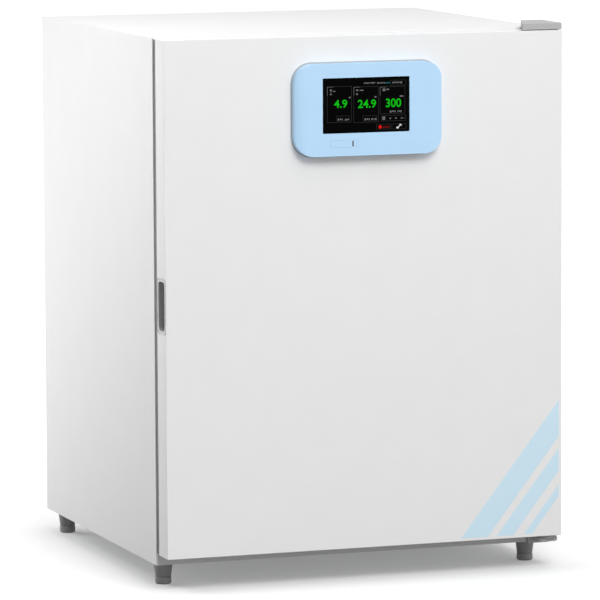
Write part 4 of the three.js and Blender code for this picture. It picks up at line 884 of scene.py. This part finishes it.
# %% Alarm light and tool symbol
spanner = [
    (47.6, 758.6), (50, 758.2), (51.6, 759.8), (51.3, 761), (54.2, 763.2), (56.3, 763), (57, 764.8),
    (55.4, 764.2), (54.6, 765.2), (55.9, 766), (53.6, 766.1), (52.3, 764.6), (52.6, 763.4),
    (49.8, 761.4), (48.4, 761.8), (47, 760.4),
]
on_the_glass("display_alarm_light", glow["red"], [circle(18.6, 761.9, 2.9, 24)])
on_the_glass("display_tool_symbol", glow["white"], [spanner])

# %% [markdown]
# ## Readings
# The three numbers are bold green digits. A text object is the quick way to get clean digits. It
# is thickened by its offset, made a mesh, and then fitted to the box that the number fills on the
# screen, so that its place is in its mesh like that of every other piece.

# %% Readings
def reading(name, digits, x0, x1, z0, z1):
    curve = bpy.data.curves.new(name + "_curve", "FONT")
    curve.body = digits
    curve.offset = 0.018
    curve.extrude = 0.01
    text = new_object(name + "_text", curve)
    bpy.context.view_layer.update()
    graph = bpy.context.evaluated_depsgraph_get()
    mesh = bpy.data.meshes.new_from_object(text.evaluated_get(graph))
    bpy.data.objects.remove(text)
    lows = [min(v.co[k] for v in mesh.vertices) for k in range(3)]
    highs = [max(v.co[k] for v in mesh.vertices) for k in range(3)]
    for vertex in mesh.vertices:
        across, up, out = [(vertex.co[k] - lows[k]) / (highs[k] - lows[k]) for k in range(3)]
        vertex.co = (
            (x0 + across * (x1 - x0)) * mm,
            glass_face + 0.02 * mm - out * plate_depth,
            (z0 + up * (z1 - z0)) * mm,
        )
    fit(name, mesh, "outer_door", "screen_glass", glow["green"])


reading("reading_gas", "4.9", -62.2, -39.2, 795.4, 808.8)
reading("reading_temperature", "24.9", -20.4, 11.4, 793.9, 807.8)
reading("reading_speed", "300", 28.7, 55.6, 794.0, 808.4)

# %% [markdown]
# ## Bands on the door
# The lower right corner of the door carries pale blue vinyl film. Here it is three slanted bands
# that narrow towards the corner. Each is an endless strip that is cut to the flat part of the
# door, side by side, and stands out by the thickness of the film.

# %% Bands on the door
def keep_side(outline, nx, nz, limit):
    """The part of an outline where nx * x + nz * z stays under the limit."""
    kept = []
    for a, b in zip(outline, outline[1:] + outline[:1]):
        da, db = nx * a[0] + nz * a[1] - limit, nx * b[0] + nz * b[1] - limit
        if da <= 0:
            kept.append(a)
        if da * db < 0:
            t = da / (da - db)
            kept.append((a[0] + t * (b[0] - a[0]), a[1] + t * (b[1] - a[1])))
    return kept


def corner_bands(slope=math.radians(52), left=116, top=291, margin=5):
    """Bands that start low on the door and rise to its right edge."""
    nx, nz = math.sin(slope), -math.cos(slope)
    door_low, door_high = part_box("door_shell")
    right, bottom = door_high.x / mm - margin, door_low.z / mm + margin
    shape = bmesh.new()
    for start, width in ((168, 38), (232, 24), (281, 12)):
        near_edge = nx * start + nz * bottom
        band = bar(left, bottom, right, top)
        band = keep_side(band, nx, nz, near_edge + width)
        band = keep_side(band, -nx, -nz, -near_edge)
        plate(shape, band, door_low.y - 0.12 * mm, 0.25 * mm)
    return mesh_from(shape, "corner_bands")


film = moulded("pale_blue_vinyl_film", "#D2ECFA", "#CEE8F6", 0.38, 1.4, 0.004)
bands = fit("corner_bands", corner_bands(), "outer_door", "blue_plastic", film)
print("bands", [round(v, 3) for v in bands.dimensions])

# %% [markdown]
# ## Trees that repeat a piece
# Screws and louvre hoods repeat. Geometry Nodes set one pattern on every point of a small mesh
# that only gives the places. Such a tree starts with named inputs, and ends by making the copies
# real and giving them their material, because the export drops mere instances.

# %% Trees that repeat a piece
def start_tree(name, inputs, output):
    """An empty tree with inputs of these kinds, and the node that hands them in."""
    tree = bpy.data.node_groups.new(name, "GeometryNodeTree")
    for socket, kind in inputs.items():
        tree.interface.new_socket(socket, in_out="INPUT", socket_type="NodeSocket" + kind)
    tree.interface.new_socket(output, in_out="OUTPUT", socket_type="NodeSocketGeometry")
    return tree, add_node(tree, "NodeGroupInput").outputs


def end_tree(tree, places, pattern, material, output, **rotation):
    """Sets the pattern on the places and hands the copies out."""
    inputs = {"Points": places, "Instance": pattern, **rotation}
    each = add_node(tree, "GeometryNodeInstanceOnPoints", inputs)
    real = add_node(
        tree, "GeometryNodeRealizeInstances", {"Geometry": each.outputs["Instances"]}
    )
    inputs = {"Geometry": real.outputs["Geometry"], "Material": material}
    dressed = add_node(tree, "GeometryNodeSetMaterial", inputs)
    add_node(tree, "NodeGroupOutput", {output: dressed.outputs["Geometry"]})


def on_places(name, places, tree, values, body):
    """Runs a tree on these points, with inputs given by name, and fastens what comes out."""
    mesh = bpy.data.meshes.new(name)
    mesh.from_pydata(places, [], [])
    piece = new_object(name, mesh)
    modifier = piece.modifiers.new(tree.name, "NODES")
    modifier.node_group = tree
    for item in tree.interface.items_tree:
        if item.item_type == "SOCKET" and item.in_out == "INPUT" and item.name in values:
            modifier[item.identifier] = values[item.name]
    made_plain(piece)
    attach(piece, body)
    print(name, "on", len(places), "places,", len(piece.data.polygons), "faces")


print("helpers for trees ready")

# %% [markdown]
# ## Screws
# Pan-head screws with a cross recess hold the rear panel, the air duct and the glass door's
# hinge. A screw is always the same, so it is made once in Geometry Nodes, as a low cone with a
# cross cut into it. The tree's inputs are the size of the head and the way it faces.

# %% Screw tree
def screw_tree(material):
    tree, given = start_tree(
        "pan_head_screws",
        {"Places": "Geometry", "Head Radius": "Float", "Head Height": "Float", "Facing": "Vector"},
        "Screws",
    )
    radius, height = given["Head Radius"], given["Head Height"]
    head = add_node(
        tree,
        "GeometryNodeMeshCone",
        {
            "Vertices": 20,
            "Side Segments": 2,
            "Radius Top": calculate(tree, "MULTIPLY", radius, 0.72),
            "Radius Bottom": radius,
            "Depth": height,
        },
    )
    cut = add_node(
        tree,
        "GeometryNodeMeshBoolean",
        {"Mesh 1": head.outputs["Mesh"]},
        operation="DIFFERENCE",
    )
    lift = add_node(tree, "ShaderNodeCombineXYZ", {0: 0.0, 1: 0.0, 2: height}).outputs[0]
    long_side = calculate(tree, "MULTIPLY", radius, 1.1)
    short_side = calculate(tree, "MULTIPLY", radius, 0.22)
    for x, y in ((long_side, short_side), (short_side, long_side)):
        size = add_node(tree, "ShaderNodeCombineXYZ", {0: x, 1: y, 2: height}).outputs[0]
        cube = add_node(tree, "GeometryNodeMeshCube", {"Size": size}).outputs["Mesh"]
        cutter = add_node(
            tree, "GeometryNodeTransform", {"Geometry": cube, "Translation": lift}
        )
        tree.links.new(cutter.outputs["Geometry"], cut.inputs["Mesh 2"])
    turn = add_node(
        tree, "FunctionNodeAlignRotationToVector", {"Vector": given["Facing"]}, axis="Z"
    )
    pattern, rotation = cut.outputs["Mesh"], turn.outputs["Rotation"]
    end_tree(tree, given["Places"], pattern, material, "Screws", Rotation=rotation)
    return tree


screws = screw_tree(finishes["bright_steel"])
print("screw tree", len(screws.nodes), "nodes")

# %% [markdown]
# ## Places of the screws
# The rear panel is held along both sides and its top, the glass door's hinge in one row, and the
# air duct round its edge. The places are measured from each piece's own box, so the screws
# follow it.

# %% Places of the screws
def set_screws(name, body, places, facing, radius, height):
    values = {"Head Radius": radius * mm, "Head Height": height * mm, "Facing": facing}
    on_places(name, places, screws, values, body)


panel_low, panel_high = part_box("rear_panel")
edge = 9 * mm
rows = [panel_low.z + edge + k * (panel_high.z - panel_low.z - 2 * edge) / 5 for k in range(6)]
columns = (panel_low.x + edge, panel_high.x - edge)
rear_places = [(x, panel_high.y, z) for z in rows for x in columns]
rear_places += [(x, panel_high.y, panel_high.z - edge) for x in (-0.17, 0, 0.17)]
set_screws("rear_panel_screws", "cabinet", rear_places, (0, 1, 0), 3.8, 2.0)

strip_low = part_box("glass_hinge_strip")[0]
strip_x, first_z, pitch = strip_low.x + 8 * mm, strip_low.z + 0.04, 0.127
strip_places = [(strip_x, strip_low.y, first_z + k * pitch) for k in range(5)]
set_screws("glass_hinge_screws", "inner_door", strip_places, (0, -1, 0), 3.2, 1.6)

duct_low, duct_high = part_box("duct_cover")
edge = 4 * mm
rows = [duct_low.z + edge + k * (duct_high.z - duct_low.z - 2 * edge) / 3 for k in range(4)]
columns = (duct_low.x + edge, 0, duct_high.x - edge)
duct_places = [
    (x, duct_high.y - 1.5 * mm, z) for z in rows for x in columns if x or z in (rows[0], rows[-1])
]
set_screws("duct_cover_screws", "cabinet", duct_places, (0, -1, 0), 3.0, 1.6)

# %% [markdown]
# ## Louvre hoods
# The slots low in the rear panel are covered by pressed hoods that open downwards, so that a
# spill doesn't run in. One hood is a sheet bulged by a rule: full depth at its open lower edge,
# falling to nothing at its top and its ends. Geometry Nodes set it over every slot.

# %% One louvre hood
hood_length, hood_width, hood_depth, hood_sheet = 98 * mm, 10 * mm, 4.2 * mm, 0.8 * mm


def pressed_hood(columns=28, rows=7):
    shape = bmesh.new()
    grid = []
    for j in range(rows + 1):
        line = []
        for i in range(columns + 1):
            u, t = 2 * i / columns - 1, j / rows
            bulge = math.cos(t * math.pi / 2) * (1 - abs(u) ** 5)
            point = (u * hood_length / 2, hood_depth * bulge, (t - 0.42) * hood_width)
            line.append(shape.verts.new(point))
        grid.append(line)
    for j in range(rows):
        for i in range(columns):
            shape.faces.new((grid[j][i + 1], grid[j][i], grid[j + 1][i], grid[j + 1][i + 1]))
    mesh = mesh_from(shape, "louvre_hood")
    mesh.shade_smooth()
    hood = in_scene("louvre_hood", mesh, finishes["white_paint"])
    wall = hood.modifiers.new("sheet", "SOLIDIFY")
    wall.thickness = hood_sheet
    wall.offset = -1
    return made_plain(hood)


hood = pressed_hood()
print("hood", len(hood.data.polygons), "faces")

# %% Hoods over all slots
repeated, given = start_tree(
    "one_piece_on_every_place",
    {"Places": "Geometry", "Pattern": "Object", "Finish": "Material"},
    "Pieces",
)
pattern = add_node(repeated, "GeometryNodeObjectInfo", {"Object": given["Pattern"]})
end_tree(repeated, given["Places"], pattern.outputs["Geometry"], given["Finish"], "Pieces")

slots_middle, slots_pitch, slots_side = 0.100, 0.014, 0.052
slot_rows = [slots_middle + (k - 2.5) * slots_pitch for k in range(6)]
hood_places = [(x, panel_high.y, z) for x in (-slots_side, slots_side) for z in slot_rows]
hood_values = {"Pattern": hood, "Finish": finishes["white_paint"]}
on_places("louvre_hoods", hood_places, repeated, hood_values, "cabinet")
bpy.data.objects.remove(hood)

# %% [markdown]
# ## Floor
# The picture was taken in a white studio, and its floor runs into a white background with a soft
# shadow under the cabinet. The floor is pale paint that also glows, the more the further it is
# from the cabinet, so it fades to white while the shadow stays. Only rays that come from the
# camera, or by way of a mirror or glass, see this. For all other light the floor is plain grey.

# %% Floor
white = (1, 1, 1, 1)


def away_from(tree, half_sizes):
    """How far a place on the floor lies from a rectangle round the middle of the scene."""
    place = add_node(tree, "ShaderNodeTexCoord")
    steps = [("ABSOLUTE", None), ("SUBTRACT", half_sizes), ("MAXIMUM", (0, 0, 0)), ("LENGTH", None)]
    value = place.outputs["Object"]
    for operation, other in steps:
        inputs = {0: value} if other is None else {0: value, 1: other}
        step = add_node(tree, "ShaderNodeVectorMath", inputs, operation=operation)
        value = step.outputs["Value" if operation == "LENGTH" else "Vector"]
    return value


def one_if_seen(tree, value):
    """One for rays of the camera and for those by way of a mirror or glass, else the value."""
    path = add_node(tree, "ShaderNodeLightPath")
    for ray in ("Is Camera Ray", "Is Glossy Ray", "Is Transmission Ray"):
        value = calculate(tree, "MAXIMUM", value, path.outputs[ray])
    return value


def white_floor(near_glow=0.19, far_glow=0.7):
    material, tree = empty_material("studio_floor")
    rise = between(tree, away_from(tree, (0.34, 0.34, 0)), near_glow, far_glow)
    glow = add_node(tree, "ShaderNodeEmission", {"Color": white, "Strength": rise})

    def paint(colour):
        return add_node(tree, "ShaderNodeBsdfDiffuse", {"Color": linear(colour)}).outputs[0]

    seen = add_node(tree, "ShaderNodeAddShader", {0: paint("#E4E4E4"), 1: glow.outputs[0]})
    inputs = {0: one_if_seen(tree, 0.0), 1: paint("#A4A4A4"), 2: seen.outputs[0]}
    mix = add_node(tree, "ShaderNodeMixShader", inputs)
    add_node(tree, "ShaderNodeOutputMaterial", {"Surface": mix.outputs[0]})
    return material


reach = 30
floor_mesh = bpy.data.meshes.new("floor")
floor_corners = [(-reach, -reach, 0), (reach, -reach, 0), (reach, reach, 0), (-reach, reach, 0)]
floor_mesh.from_pydata(floor_corners, [], [(0, 1, 2, 3)])
floor = in_scene("floor", floor_mesh, white_floor())
print("floor", 2 * reach, "m wide")

# %% [markdown]
# ## Lamps
# In the picture the roof is the brightest face, the left side fades from its upper back corner
# to its lower front one, and the door is a little darker than the roof. A wide lamp high in front
# lights the door and the roof, with a steeper one to lift the roof. Two lamps low behind the left
# side and one beside its top make the fade. Each row is a lamp's place, what it points at, its
# size, all in metres, and its power in watts.

# %% Lamps
lamps = {
    "front_lamp": ((0.15, -3.4, 3.1), (0, -0.35, 0.6), (2.0, 1.6), 76),
    "steep_front_lamp": ((0.3, -2.1, 3.2), (0, -0.35, 0.5), (2.0, 1.4), 8),
    "low_side_lamp": ((-1.55, 1.45, 0.55), (-0.35, 0.3, 0.35), (0.8, 0.8), 9.6),
    "rear_side_lamp": ((-0.95, 1.25, 0.5), (-0.35, 0.3, 0.45), (0.5, 0.8), 4.0),
    "high_side_lamp": ((-1.2, -0.15, 1.3), (-0.35, -0.15, 0.8), (0.6, 0.6), 5.2),
}
for name, (place, target, size, power) in lamps.items():
    light = bpy.data.lights.new(name, "AREA")
    light.shape = "RECTANGLE"
    light.size, light.size_y = size
    light.energy = power
    lamp = new_object(name, light)
    lamp.location = place
    aim = Vector(target) - Vector(place)
    lamp.rotation_euler = aim.to_track_quat("-Z", "Y").to_euler()
print("lamps:", list(lamps))

# %% [markdown]
# ## Sky
# A studio's walls give soft light from all round. Here the left wall is dim, which is what lets
# the left side fade, and the right one is a little dimmer than the middle. The level follows the
# direction that a ray leaves in, along X. As with the floor, what is seen directly is plain white.

# %% Sky
left_level, middle_level, right_level = 0.08, 1.0, 0.6
world = bpy.data.worlds.new("studio")
bpy.context.scene.world = world
world.use_nodes = True
sky = world.node_tree
direction = add_node(sky, "ShaderNodeTexCoord").outputs["Generated"]
along = add_node(sky, "ShaderNodeSeparateXYZ", {0: direction}).outputs["X"]
level = calculate(
    sky,
    "MINIMUM",
    between(sky, along, left_level, middle_level, -0.7, 0.1),
    between(sky, along, middle_level, right_level, 0.3, 0.9),
)
background = sky.nodes["Background"]
background.inputs["Color"].default_value = white
sky.links.new(one_if_seen(sky, level), background.inputs["Strength"])
print("sky from", left_level, "on the left to", middle_level, "and", right_level, "on the right")

# %% [markdown]

bpy.context.scene.view_settings.view_transform = "Standard"
